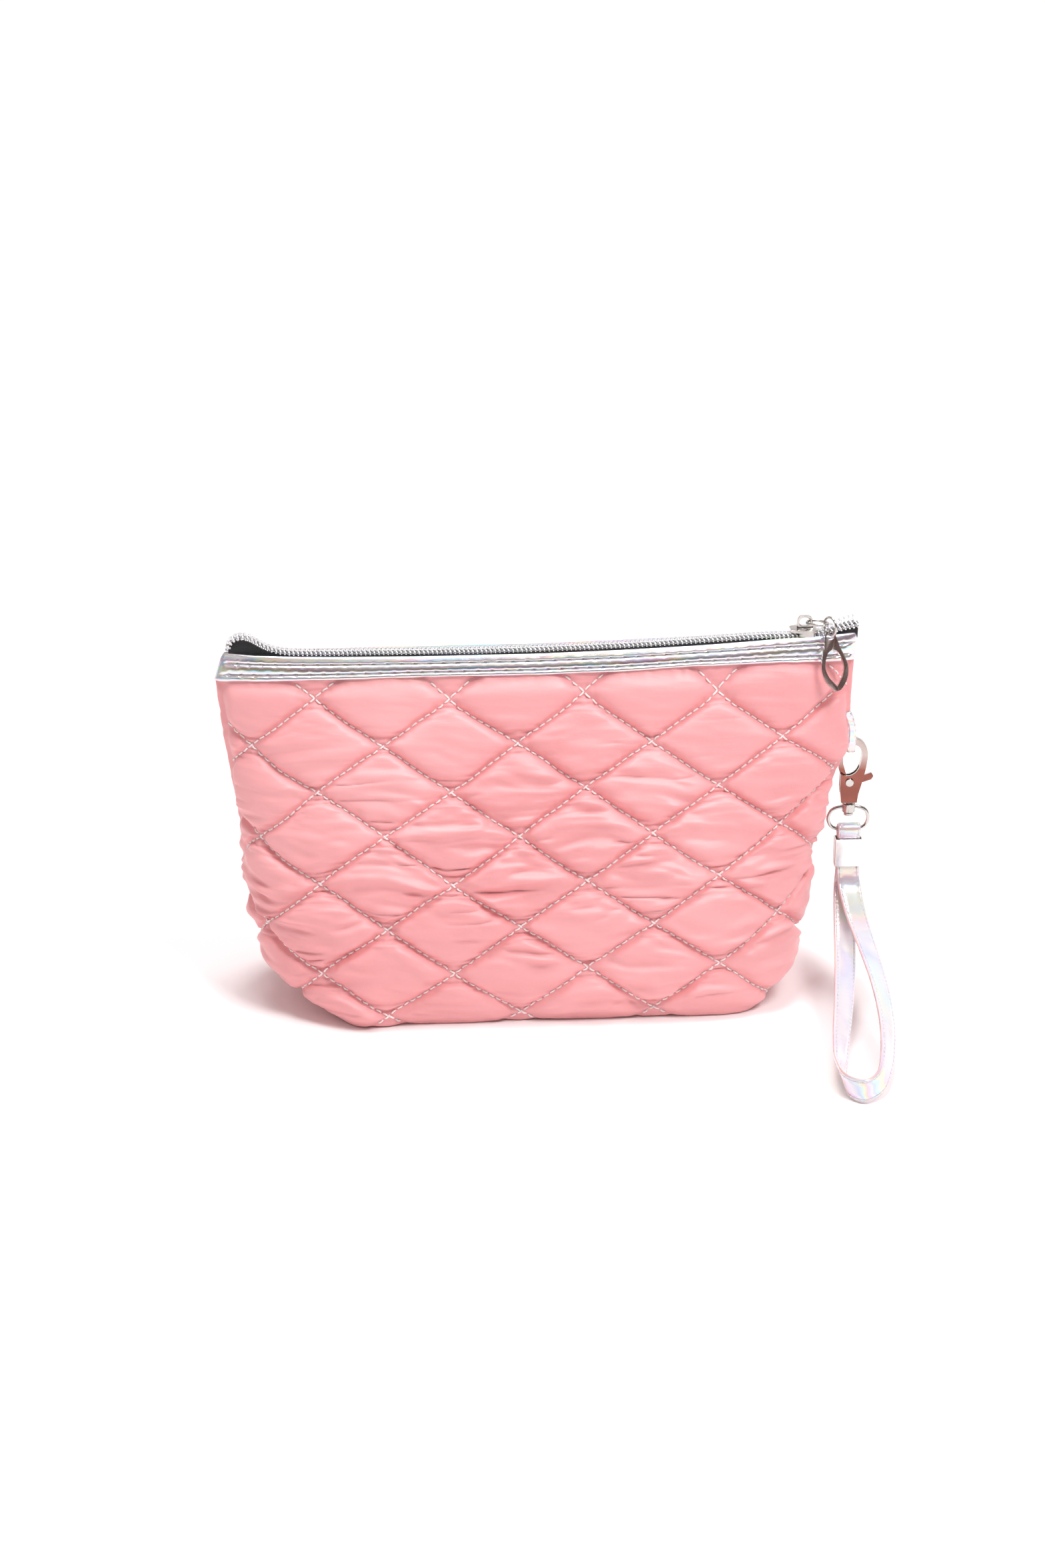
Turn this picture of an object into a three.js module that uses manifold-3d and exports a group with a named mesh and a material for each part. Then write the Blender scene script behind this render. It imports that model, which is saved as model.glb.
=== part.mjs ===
// A quilted zip pouch with a trim band, a zip, and a wrist strap on a swivelling clasp.
// Millimetres, +Z up. X runs along the zip, -Y is the front, and the base rests on z = 0.
import * as THREE from "three";
import { mergeVertices } from "three/addons/utils/BufferGeometryUtils.js";
import Module from "manifold-3d";

const wasm = await Module();
wasm.setup();

// ---- bag body ---------------------------------------------------------------
// Each station: height, half length, half depth, sideways shift, flatness, end roundness.
const STATIONS = [
  [0, 84, 34.5, 1.0, 9, 3.6],
  [4.5, 91, 37.5, 0, 8.5, 3.6],
  [10.5, 97, 38.5, -1.0, 7, 3.3],
  [21, 101.5, 38.5, -2.5, 5.5, 2.9],
  [38, 106, 37, -3.0, 4.6, 2.4],
  [57, 109, 33, -2.0, 4, 2.1],
  [74, 111.5, 28, -1.2, 4, 1.9],
  [90, 114.5, 22, -0.6, 4, 1.8],
  [109, 117.3, 15.5, -0.2, 4, 1.7],
  [127, 119.8, 9.2, 0, 4, 1.6],
  [137.5, 120.5, 6.2, 0, 4, 1.5],
];
const BAND_BOTTOM = 127;
const BAND_TOP = 137.5;
const WALL_BOTTOM = 0.9;
const SEAM_GAP = 0.15;
const SKIN = 0.6;
const WADDING = [0.8, 3.0];
const LINING = [3.2, 3.8];
const TRIM = 1.2;
const PAD_INSET = 4.2;
const LINING_TOP = 136.3;

// ---- zip --------------------------------------------------------------------
const TAPE = { inner: 0.7, outer: 4.6, z: 139.0, thick: 0.6 };
const COIL = { inner: 0.7, outer: 2.8, z: 139.8, thick: 1.6 };
const ZIP_LEFT = [[-118.5, 1.0], [-114, 4.6], [-110, 5.6], [-104, 3.0], [-98, 0], [-86, 0]];
const ZIP_MIDDLE = [[-85.7, 0], [-30, 0], [30, 0], [93.7, 0]];
const ZIP_RIGHT = [[94, 0], [106, 0], [112, 1.8], [119, 4.2]];

// ---- slider, link, ring and pull ----------------------------------------------
const SLIDER_X = 100;
const SLIDER = { low: [138.1, 138.7], top: [141.7, 142.8], flange: [3.1, 3.9], flangeLow: 139.9 };
const SLIDER_PLAN = [[-5, 2.6], [-2, 3.9], [3.5, 3.9], [5, 3.2]];
const POST = { half: 0.4, from: 1, to: 4 };
const BRIDGE = { half: 0.7, from: -2.6, to: 3.6, top: 147.6, wall: 0.9 };
const LINK = { turn: 30, length: 8.0, halfWidth: 2.5, wire: 0.55, x: 101.5, z: 145.2 };
const RING = { turn: 60, radius: 3.5, wire: 0.5, crossing: 6.75 };
const PULL = { turn: 8, tilt: 18, lean: 5, length: 23, halfWidth: 5.2, thick: 1.6, eye: 1.55, drop: 0.3 };

// ---- side tab, clasp, D-ring, clamp and strap ---------------------------------
const HANG_Y = 1.5;
const RIVET = { x: 119.8, z: 80, radius: 1.1 };
const TAB = { x: [118.7, 123.3], top: 106, bend: 94.2, thick: 0.8, gap: 3.9 };
const CLASP = { thick: 3.2, slot: 1.3, bottom: 71.6 };
const LEVER_THICK = 0.9;
const SWIVEL = { shaft: 1.05, head: 1.9, headLow: 66.2, headHigh: 67.4 };
const BOSS = { radius: 2.6, bore: 1.15, low: 67.7, high: 71.0 };
const D_RING = { halfWidth: 7.85, top: 69.4, bar: 60.2, corner: 4.4, wire: 0.75 };
const STRAP = { halfWidth: 4.4, thick: 1.6, layer: 0.95, foldRadius: 1.9 };
const CLAMP = { low: 45.5, high: 56.8, halfWidth: 5.3, halfDepth: 2.7, wall: 0.5 };

const BLACK = 0x111114;
const PINK = 0xf2b3ba;
const WHITE = 0xf4f1ee;
const SILVER = 0xd6d4e0;
const NICKEL = 0xc9c4bc;

const group = new THREE.Group();
group.name = "makeup_bag";

function add(name, geometry, color) {
  const mesh = new THREE.Mesh(geometry, new THREE.MeshStandardMaterial({ color }));
  mesh.name = name;
  group.add(mesh);
}

// ---- closed meshes and boolean helpers ------------------------------------------
function meshFrom(points, faces) {
  const geometry = new THREE.BufferGeometry();
  geometry.setAttribute("position", new THREE.Float32BufferAttribute(points.flat(), 3));
  geometry.setIndex(faces.flat());
  return geometry;
}

function toSolid(geometry) {
  const bare = new THREE.BufferGeometry();
  bare.setAttribute("position", geometry.getAttribute("position"));
  if (geometry.getIndex()) bare.setIndex(geometry.getIndex());
  const merged = mergeVertices(bare, 1e-4);
  const mesh = new wasm.Mesh({
    numProp: 3,
    vertProperties: new Float32Array(merged.getAttribute("position").array),
    triVerts: new Uint32Array(merged.getIndex().array),
  });
  return new wasm.Manifold(mesh);
}

function toGeometry(solid) {
  const mesh = solid.getMesh();
  const geometry = new THREE.BufferGeometry();
  const positions = new Float32Array(mesh.vertProperties);
  geometry.setAttribute("position", new THREE.BufferAttribute(positions, 3));
  geometry.setIndex(new THREE.BufferAttribute(new Uint32Array(mesh.triVerts), 1));
  return geometry;
}

function union(...geometries) {
  return geometries.map(toSolid).reduce((whole, next) => whole.add(next));
}

function box(x, y, z) {
  const geometry = new THREE.BoxGeometry(x[1] - x[0], y[1] - y[0], z[1] - z[0]);
  geometry.translate((x[0] + x[1]) / 2, (y[0] + y[1]) / 2, (z[0] + z[1]) / 2);
  return geometry;
}

// A plan outline in X and Y, raised from z[0] to z[1].
function plate(outline, z) {
  const shape = new THREE.Shape(outline.map(([x, y]) => new THREE.Vector2(x, y)));
  const geometry = new THREE.ExtrudeGeometry(shape, { depth: z[1] - z[0], bevelEnabled: false });
  geometry.translate(0, 0, z[0]);
  return geometry;
}

// A shape drawn in X and Z, thickened along Y from y[0] to y[1].
function upright(shape, y, curveSegments = 10) {
  const settings = { depth: y[1] - y[0], bevelEnabled: false, curveSegments };
  const geometry = new THREE.ExtrudeGeometry(shape, settings);
  geometry.rotateX(Math.PI / 2);
  geometry.translate(0, y[1], 0);
  return geometry;
}

function upCylinder(radius, z, x, y, sides = 24) {
  const geometry = new THREE.CylinderGeometry(radius, radius, z[1] - z[0], sides);
  geometry.rotateX(Math.PI / 2);
  geometry.translate(x, y, (z[0] + z[1]) / 2);
  return geometry;
}

// A round wire bent along a closed path of points.
function closedWire(points, radius, steps, sides = 8) {
  const path = new THREE.CatmullRomCurve3(points, true, "centripetal");
  const rows = path.getSpacedPoints(steps).slice(0, steps);
  const vertices = [];
  const centre = rows.reduce((sum, p) => sum.add(p), new THREE.Vector3()).divideScalar(steps);
  const spanA = rows[0].clone().sub(centre);
  const spanB = rows[Math.floor(steps / 4)].clone().sub(centre);
  const normal = spanA.cross(spanB).normalize();
  for (let i = 0; i < steps; i++) {
    const ahead = rows[(i + 1) % steps].clone().sub(rows[(i + steps - 1) % steps]).normalize();
    const side = normal.clone().cross(ahead).normalize();
    for (let j = 0; j < sides; j++) {
      const angle = (2 * Math.PI * j) / sides;
      const p = rows[i].clone();
      p.addScaledVector(side, radius * Math.cos(angle));
      p.addScaledVector(normal, radius * Math.sin(angle));
      vertices.push([p.x, p.y, p.z]);
    }
  }
  const faces = [];
  for (let i = 0; i < steps; i++) {
    for (let j = 0; j < sides; j++) {
      const a = i * sides + j;
      const b = i * sides + ((j + 1) % sides);
      const c = ((i + 1) % steps) * sides + j;
      const d = ((i + 1) % steps) * sides + ((j + 1) % sides);
      faces.push([a, b, d], [a, d, c]);
    }
  }
  return facingOut(meshFrom(vertices, faces));
}

// Turns a closed mesh inside out if its volume comes out negative.
function facingOut(geometry) {
  const p = geometry.getAttribute("position");
  const index = geometry.getIndex();
  const corner = (k) => new THREE.Vector3().fromBufferAttribute(p, index.getX(k));
  let volume = 0;
  for (let k = 0; k < index.count; k += 3) {
    volume += corner(k).dot(corner(k + 1).cross(corner(k + 2)));
  }
  if (volume < 0) {
    const flipped = [];
    for (let k = 0; k < index.count; k += 3) {
      flipped.push(index.getX(k), index.getX(k + 2), index.getX(k + 1));
    }
    geometry.setIndex(flipped);
  }
  return geometry;
}

// ---- bag body surface -------------------------------------------------------------
function station(z) {
  let k = 1;
  while (k < STATIONS.length - 1 && STATIONS[k][0] < z) k++;
  const [low, high] = [STATIONS[k - 1], STATIONS[k]];
  const share = (z - low[0]) / (high[0] - low[0]);
  const [, length, depth, shift, flat, round] = low.map((v, i) => v + share * (high[i] - v));
  return { length, depth, shift, flat, round };
}

// A point on one side of the bag. s runs from -1 at one seam to 1 at the other.
function wallPoint(s, z, inset, side) {
  const { length, depth, shift, flat, round } = station(z);
  const rise = (1 - Math.abs(s) ** flat) ** (1 / round);
  return [shift + (length - inset) * s, side * Math.max(SEAM_GAP, (depth - inset) * rise), z];
}

const WALL_COLUMNS = 20;

// One layer of a wall: the space between two insets, closed at its rim.
function wallLayer(side, inset, heights) {
  const sweep = [];
  for (let i = 0; i <= WALL_COLUMNS; i++) sweep.push(-Math.cos((Math.PI * i) / WALL_COLUMNS));
  const columns = sweep.length;
  const vertices = [];
  for (const t of inset) {
    for (const z of heights) {
      for (const s of sweep) vertices.push(wallPoint(s, z, t, side));
    }
  }
  const sheet = heights.length * columns;
  const at = (layer, row, column) => layer * sheet + row * columns + column;
  const faces = [];
  const quad = (a, b, c, d) => faces.push([a, b, c], [a, c, d]);
  for (let r = 0; r + 1 < heights.length; r++) {
    for (let c = 0; c + 1 < columns; c++) {
      quad(at(0, r, c), at(0, r, c + 1), at(0, r + 1, c + 1), at(0, r + 1, c));
      quad(at(1, r, c), at(1, r + 1, c), at(1, r + 1, c + 1), at(1, r, c + 1));
    }
    const end = columns - 1;
    quad(at(1, r, 0), at(0, r, 0), at(0, r + 1, 0), at(1, r + 1, 0));
    quad(at(0, r, end), at(1, r, end), at(1, r + 1, end), at(0, r + 1, end));
  }
  const top = heights.length - 1;
  for (let c = 0; c + 1 < columns; c++) {
    quad(at(1, 0, c), at(1, 0, c + 1), at(0, 0, c + 1), at(0, 0, c));
    quad(at(0, top, c), at(0, top, c + 1), at(1, top, c + 1), at(1, top, c));
  }
  return facingOut(meshFrom(vertices, faces));
}

function heightsBetween(low, high) {
  const inside = STATIONS.map((row) => row[0]).filter((z) => z > low + 0.4 && z < high - 0.4);
  return [low, ...inside, high];
}

// The bag's outline at one height, all the way round from the left end.
function baseOutline(z, inset) {
  const outline = [];
  for (const side of [-1, 1]) {
    for (let i = 0; i < WALL_COLUMNS; i++) {
      const s = side * Math.cos((Math.PI * i) / WALL_COLUMNS);
      const [x, y] = wallPoint(s, z, inset, side);
      outline.push([x, i === 0 ? 0 : y]);
    }
  }
  return outline;
}

function addBody() {
  const panel = heightsBetween(WALL_BOTTOM, BAND_BOTTOM - 0.3);
  const lining = heightsBetween(WALL_BOTTOM, LINING_TOP);
  const trim = [BAND_BOTTOM, BAND_TOP];
  for (const [name, side] of [["front", -1], ["back", 1]]) {
    add(`${name}_panel`, wallLayer(side, [0, SKIN], panel), PINK);
    add(`${name}_wadding`, wallLayer(side, WADDING, panel), WHITE);
    add(`${name}_lining`, wallLayer(side, LINING, lining), BLACK);
    add(`${name}_trim`, wallLayer(side, [0, TRIM], trim), SILVER);
  }
  add("base_panel", plate(baseOutline(0, 0), [0, SKIN]), PINK);
  add("base_wadding", plate(baseOutline(0, PAD_INSET), [0.9, 3.1]), WHITE);
  add("base_lining", plate(baseOutline(0, PAD_INSET), [3.4, 4.0]), BLACK);
}

// ---- zip ----------------------------------------------------------------------------
// A flat strip that follows a path of [x, rise] points.
function strip(path, across, z, thick) {
  const vertices = [];
  for (const [x, rise] of path) {
    const low = z + rise;
    vertices.push([x, across[0], low], [x, across[1], low]);
    vertices.push([x, across[1], low + thick], [x, across[0], low + thick]);
  }
  const faces = [[0, 1, 2], [0, 2, 3]];
  for (let i = 0; i + 1 < path.length; i++) {
    for (let j = 0; j < 4; j++) {
      const a = 4 * i + j;
      const b = 4 * i + ((j + 1) % 4);
      faces.push([a, a + 4, b + 4], [a, b + 4, b]);
    }
  }
  const last = 4 * (path.length - 1);
  faces.push([last, last + 2, last + 1], [last, last + 3, last + 2]);
  return facingOut(meshFrom(vertices, faces));
}

function addZipHalf(name, side, path) {
  const tape = [side * TAPE.inner, side * TAPE.outer];
  const coil = [side * COIL.inner, side * COIL.outer];
  add(name.replace("*", "tape"), strip(path, tape, TAPE.z, TAPE.thick), BLACK);
  add(name.replace("*", "coil"), strip(path, coil, COIL.z, COIL.thick), SILVER);
}

function addZip() {
  addZipHalf("front_*", -1, [...ZIP_LEFT, ...ZIP_RIGHT]);
  addZipHalf("back_*_left_end", 1, ZIP_LEFT);
  addZipHalf("back_*", 1, ZIP_MIDDLE);
  addZipHalf("back_*_right_end", 1, ZIP_RIGHT);
}

// ---- slider, link, ring and pull ------------------------------------------------------
function mirrored(halfOutline) {
  const back = halfOutline.map(([x, y]) => [x + SLIDER_X, y]);
  const front = halfOutline.map(([x, y]) => [x + SLIDER_X, -y]).reverse();
  return [...front, ...back].reverse();
}

function bridgeLoop() {
  const { half, from, to, top, wall } = BRIDGE;
  const foot = SLIDER.top[1] - 0.4;
  const reach = (to - from) / 3;
  const arch = new THREE.Shape();
  arch.moveTo(SLIDER_X + from, foot);
  arch.bezierCurveTo(SLIDER_X + from, top, SLIDER_X + from + reach / 2, top, SLIDER_X + from + reach, top);
  arch.lineTo(SLIDER_X + to - reach, top);
  arch.bezierCurveTo(SLIDER_X + to - reach / 2, top, SLIDER_X + to, top, SLIDER_X + to, foot);
  const eye = new THREE.Path();
  eye.absellipse(
    SLIDER_X + (from + to) / 2, (foot + top) / 2 + 0.2,
    (to - from) / 2 - wall, (top - foot) / 2 - wall, 0, 2 * Math.PI,
  );
  arch.holes.push(eye);
  return upright(arch, [-half, half], 8);
}

function addSlider() {
  const plan = mirrored(SLIDER_PLAN);
  const [inner, outer] = SLIDER.flange;
  const flangeZ = [SLIDER.flangeLow, SLIDER.top[1] - 0.3];
  const flangeX = [SLIDER_X - 2, SLIDER_X + 3.5];
  const postX = [SLIDER_X + POST.from, SLIDER_X + POST.to];
  const postZ = [SLIDER.low[0] + 0.2, SLIDER.top[1] - 0.3];
  const body = union(
    plate(plan, SLIDER.top),
    plate(plan, SLIDER.low),
    box(flangeX, [-outer, -inner], flangeZ),
    box(flangeX, [inner, outer], flangeZ),
    box(postX, [-POST.half, POST.half], postZ),
    bridgeLoop(),
  );
  add("slider_body", toGeometry(body), NICKEL);
}

function heading(degrees) {
  const angle = THREE.MathUtils.degToRad(degrees);
  return new THREE.Vector3(Math.cos(angle), -Math.sin(angle), 0);
}

function linkPoint(along) {
  return new THREE.Vector3(LINK.x, 0, LINK.z).addScaledVector(heading(LINK.turn), along);
}

function ringCentre() {
  return linkPoint(RING.crossing).addScaledVector(heading(RING.turn), RING.radius);
}

function addLink() {
  const { halfWidth, length, wire } = LINK;
  const side = heading(LINK.turn - 90);
  const bend = halfWidth * 0.72;
  const plan = [
    [0, 0], [0.45, bend], [halfWidth, halfWidth], [length - halfWidth, halfWidth],
    [length - 0.45, bend], [length, 0], [length - 0.45, -bend],
    [length - halfWidth, -halfWidth], [halfWidth, -halfWidth], [0.45, -bend],
  ];
  const points = plan.map(([along, across]) => linkPoint(along).addScaledVector(side, across));
  add("link", closedWire(points, wire, 28), NICKEL);
}

function addRing() {
  const centre = ringCentre();
  const out = heading(RING.turn);
  const points = [];
  for (let i = 0; i < 12; i++) {
    const angle = (2 * Math.PI * i) / 12;
    const p = centre.clone().addScaledVector(out, RING.radius * Math.cos(angle));
    p.z += RING.radius * Math.sin(angle);
    points.push(p);
  }
  add("pull_ring", closedWire(points, RING.wire, 24), NICKEL);
}

function flatShape(points) {
  return new THREE.Shape(points.map(([x, y]) => new THREE.Vector2(x, y)));
}

function addPull() {
  const { length, halfWidth: w, thick, eye, drop, turn, tilt, lean } = PULL;
  const top = 2.1;
  const low = top - length;
  const right = [[0, top], [1.7, 1.3], [2.2, -0.5], [3.1, -4.5], [4.5, -8.5], [w, -12.4], [3.8, -17.4]];
  const left = right.slice(1).map(([x, z]) => [-x, z]).reverse();
  const leaf = flatShape(smooth([...right, [0, low], ...left], 44));
  const edge = [[0, -5.0], [1.9, -6.2], [3.3, -9.4], [3.6, -12.4], [2.6, -15.6]];
  const mirror = edge.slice(1).map(([x, z]) => [-x, z]).reverse();
  const window = flatShape([...smooth(edge, 12), [0, -19.0], ...smooth(mirror, 10)]);
  const eyeShape = new THREE.Shape();
  eyeShape.absarc(0, 0, eye, 0, 2 * Math.PI);
  const plateSolid = toSolid(upright(leaf, [-thick / 2, thick / 2]));
  const cuts = [window, eyeShape].map((shape) => toSolid(upright(shape, [-thick, thick])));
  const geometry = toGeometry(cuts.reduce((rest, cut) => rest.subtract(cut), plateSolid));
  geometry.rotateY(-THREE.MathUtils.degToRad(lean));
  geometry.rotateX(-THREE.MathUtils.degToRad(tilt));
  geometry.rotateZ(THREE.MathUtils.degToRad(turn));
  const centre = ringCentre();
  geometry.translate(centre.x, centre.y, centre.z - RING.radius - drop);
  add("pull_tab", geometry, NICKEL);
}

// ---- flat strap swept along a path, its width turned as it goes ----------------------
// Each row of the path: x, y, z and the lean of the strap's width from -X (0) to +Z (90).
function ribbon(path, halfWidth, thick, steps) {
  const centres = new THREE.CatmullRomCurve3(
    path.map(([x, y, z]) => new THREE.Vector3(x, y, z)), false, "centripetal",
  );
  const leans = new THREE.CatmullRomCurve3(
    path.map((row) => new THREE.Vector3(row[3], 0, 0)), false, "catmullrom", 0.5,
  );
  const vertices = [];
  for (let i = 0; i <= steps; i++) {
    const at = i / steps;
    const centre = centres.getPoint(at);
    const along = centres.getTangent(at);
    const lean = THREE.MathUtils.degToRad(leans.getPoint(at).x);
    const wide = new THREE.Vector3(-Math.cos(lean), 0, Math.sin(lean));
    wide.addScaledVector(along, -wide.dot(along)).normalize();
    const face = wide.clone().cross(along).normalize();
    for (const [w, f] of [[-1, -1], [1, -1], [1, 1], [-1, 1]]) {
      const p = centre.clone().addScaledVector(wide, w * halfWidth);
      p.addScaledVector(face, (f * thick) / 2);
      vertices.push([p.x, p.y, p.z]);
    }
  }
  const faces = [[0, 1, 2], [0, 2, 3]];
  for (let i = 0; i < steps; i++) {
    for (let j = 0; j < 4; j++) {
      const a = 4 * i + j;
      const b = 4 * i + ((j + 1) % 4);
      faces.push([a, a + 4, b + 4], [a, b + 4, b]);
    }
  }
  const last = 4 * steps;
  faces.push([last, last + 2, last + 1], [last, last + 3, last + 2]);
  return facingOut(meshFrom(vertices, faces));
}

function addTab() {
  const x = (TAB.x[0] + TAB.x[1]) / 2;
  const halfWidth = (TAB.x[1] - TAB.x[0]) / 2;
  const r = TAB.gap / 2 + TAB.thick / 2;
  const seam = TAB.thick / 2 + 0.15;
  const rows = [
    [x, -seam, TAB.top], [x, -seam, TAB.top - 3], [x, HANG_Y - r, TAB.bend + 4.5],
    [x, HANG_Y - r, TAB.bend + 1.6], [x, HANG_Y - r * 0.7, TAB.bend - r * 0.7 + 0.3],
    [x, HANG_Y, TAB.bend - r + 0.6], [x, HANG_Y + r * 0.7, TAB.bend - r * 0.7 + 0.3],
    [x, HANG_Y + r, TAB.bend + 1.6], [x, HANG_Y + r, TAB.bend + 4.5],
    [x, seam, TAB.top - 3], [x, seam, TAB.top],
  ];
  const path = rows.map((row) => [...row, 0]);
  add("side_tab", ribbon(path, halfWidth, TAB.thick, 30), SILVER);
}

function addStrap() {
  const x = RIVET.x + 0.7;
  const front = HANG_Y - STRAP.layer;
  const back = HANG_Y + STRAP.layer;
  const r = STRAP.foldRadius;
  const path = [
    [x, front, 50.5, 0], [x, front, 44.5, 0], [x + 0.6, -1.5, 37.5, 4], [x + 1.6, -12, 30.5, 12],
    [x + 3.2, -34, 24.5, 24], [x + 4.0, -57, 19.5, 36], [x + 3.0, -79, 14, 48],
    [x - 0.2, -97, 9, 62], [x - 4.5, -108, 6, 78], [x - 10.5, -112.5, 5.2, 88],
    [x - 15.5, -108, 5.2, 78], [x - 16.6, -96, 6.2, 62], [x - 14.0, -79, 9.0, 48],
    [x - 9.6, -57, 14, 36], [x - 5.6, -34, 19.5, 24], [x - 2.2, -10, 26.5, 12],
    [x - 0.6, 1.4, 35, 4], [x, back, 44.5, 0], [x, back, 56, 0], [x, HANG_Y + r, D_RING.bar - 0.6, 0],
    [x, HANG_Y + r * 0.75, D_RING.bar + r * 0.66, 0], [x, HANG_Y, D_RING.bar + r, 0],
    [x, HANG_Y - r * 0.75, D_RING.bar + r * 0.66, 0], [x, HANG_Y - r, D_RING.bar - 0.6, 0],
    [x, front, 56, 0], [x, front, 51.2, 0],
  ];
  add("wrist_strap", ribbon(path, STRAP.halfWidth, STRAP.thick, 96), SILVER);
}

function addClamp() {
  const x = RIVET.x + 0.7;
  const { low, high, halfWidth, halfDepth, wall } = CLAMP;
  const outer = box([x - halfWidth, x + halfWidth], [HANG_Y - halfDepth, HANG_Y + halfDepth], [low, high]);
  const w = halfWidth - wall;
  const d = halfDepth - wall;
  const inner = box([x - w, x + w], [HANG_Y - d, HANG_Y + d], [low - 1, high + 1]);
  add("strap_clamp", toGeometry(toSolid(outer).subtract(toSolid(inner))), NICKEL);
}

// ---- clasp, lever, rivet, spring, swivel and D-ring -----------------------------------
function placedShape(points) {
  return new THREE.Shape(points.map(([x, z]) => new THREE.Vector2(RIVET.x + x, RIVET.z + z)));
}

function smooth(points, count) {
  const curve = new THREE.CatmullRomCurve3(
    points.map(([x, z]) => new THREE.Vector3(x, z, 0)), false, "centripetal",
  );
  return curve.getPoints(count).map((p) => [p.x, p.y]);
}

function rivetHole(radius) {
  const hole = new THREE.Path();
  hole.absarc(RIVET.x, RIVET.z, radius, 0, 2 * Math.PI);
  return hole;
}

function addClasp() {
  const foot = CLASP.bottom - RIVET.z;
  const inside = smooth([
    [-3.4, 3.4], [-2.2, 2.9], [0.2, 2.7], [2.6, 4.2], [4.1, 7.6], [4.6, 11], [3.7, 14],
    [1.3, 15.4], [-1.2, 14.6], [-2.3, 12.6], [-2.6, 10.8],
  ], 26);
  const outside = smooth([
    [-4.5, 10.8], [-4.2, 13.6], [-2.2, 16.6], [1.3, 17.8], [5.0, 16.2], [6.7, 12.2],
    [6.4, 7], [5.2, 1], [3.6, -5],
  ], 22);
  const outline = placedShape([[-2.9, foot], [-3.6, -2], ...inside, ...outside, [3.2, foot]]);
  outline.holes.push(rivetHole(RIVET.radius + 0.1));
  const half = CLASP.thick / 2;
  const body = toSolid(upright(outline, [HANG_Y - half, HANG_Y + half]));
  const slotHalf = CLASP.slot / 2;
  const slot = box(
    [RIVET.x - 8, RIVET.x + 9], [HANG_Y - slotHalf, HANG_Y + slotHalf], [RIVET.z - 4.5, RIVET.z + 6.5],
  );
  add("clasp_body", toGeometry(body.subtract(toSolid(slot))), NICKEL);
}

function addLever() {
  const gate = [[-2.3, -0.6], [-4.2, 5.5], [-4.2, 9.8], [-2.7, 10.0], [-2.4, 7.0], [-0.9, 2.0]];
  const thumb = [[1.6, 1.6], [5.5, 2.4], [8.6, 3.4], [9.4, 2.0], [8.6, 0.6], [5.5, -0.4], [2.2, -1.2]];
  const heel = [[0.8, -2.2], [-1.4, -2.0]];
  const shape = placedShape([...gate, ...thumb, ...heel]);
  shape.holes.push(rivetHole(RIVET.radius + 0.1));
  const half = LEVER_THICK / 2;
  const lever = toSolid(upright(shape, [HANG_Y - half, HANG_Y + half]));
  add("clasp_lever", toGeometry(lever), NICKEL);
}

function addRivet() {
  const half = CLASP.thick / 2;
  const shaft = new THREE.CylinderGeometry(RIVET.radius, RIVET.radius, CLASP.thick + 0.6, 24);
  const heads = [-1, 1].map((side) => {
    const head = new THREE.CylinderGeometry(1.6, 1.6, 0.5, 24);
    head.translate(0, side * (half + 0.4), 0);
    return head;
  });
  const rivet = toGeometry(union(shaft, ...heads));
  rivet.translate(RIVET.x, HANG_Y, RIVET.z);
  add("lever_rivet", rivet, NICKEL);
}

function addSpring() {
  const points = [];
  for (let i = 0; i < 10; i++) {
    const angle = (2 * Math.PI * i) / 10;
    const x = RIVET.x + 0.3 + 0.7 * Math.cos(angle);
    points.push(new THREE.Vector3(x, HANG_Y, RIVET.z - 3.4 + 0.6 * Math.sin(angle)));
  }
  add("lever_spring", closedWire(points, 0.22, 16, 6), NICKEL);
}

function addSwivel() {
  const shaftZ = [SWIVEL.headLow + 0.4, CLASP.bottom - 0.1];
  const headZ = [SWIVEL.headLow, SWIVEL.headHigh];
  const x = RIVET.x + 0.3;
  const post = union(
    upCylinder(SWIVEL.shaft, shaftZ, x, HANG_Y),
    upCylinder(SWIVEL.head, headZ, x, HANG_Y),
  );
  add("swivel_post", toGeometry(post), NICKEL);
}

function addDRing() {
  const x = RIVET.x + 0.3;
  const { halfWidth: w, top, bar, corner: c, wire } = D_RING;
  const plan = [
    [-w + c, bar], [w - c, bar], [w - c * 0.3, bar + c * 0.3], [w, bar + c], [w, top - c],
    [w - c * 0.3, top - c * 0.3], [w - c, top], [-w + c, top], [-w + c * 0.3, top - c * 0.3],
    [-w, top - c], [-w, bar + c], [-w + c * 0.3, bar + c * 0.3],
  ];
  const loop = closedWire(plan.map(([dx, z]) => new THREE.Vector3(x + dx, HANG_Y, z)), wire, 32);
  const boss = upCylinder(BOSS.radius, [BOSS.low, BOSS.high], x, HANG_Y);
  const bore = upCylinder(BOSS.bore, [BOSS.low - 1, BOSS.high + 1], x, HANG_Y);
  add("d_ring", toGeometry(union(loop, boss).subtract(toSolid(bore))), NICKEL);
}

addBody();
addZip();
addSlider();
addLink();
addRing();
addPull();
addTab();
addClasp();
addLever();
addRivet();
addSpring();
addSwivel();
addDRing();
addClamp();
addStrap();

export default group;
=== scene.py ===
import math

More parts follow.
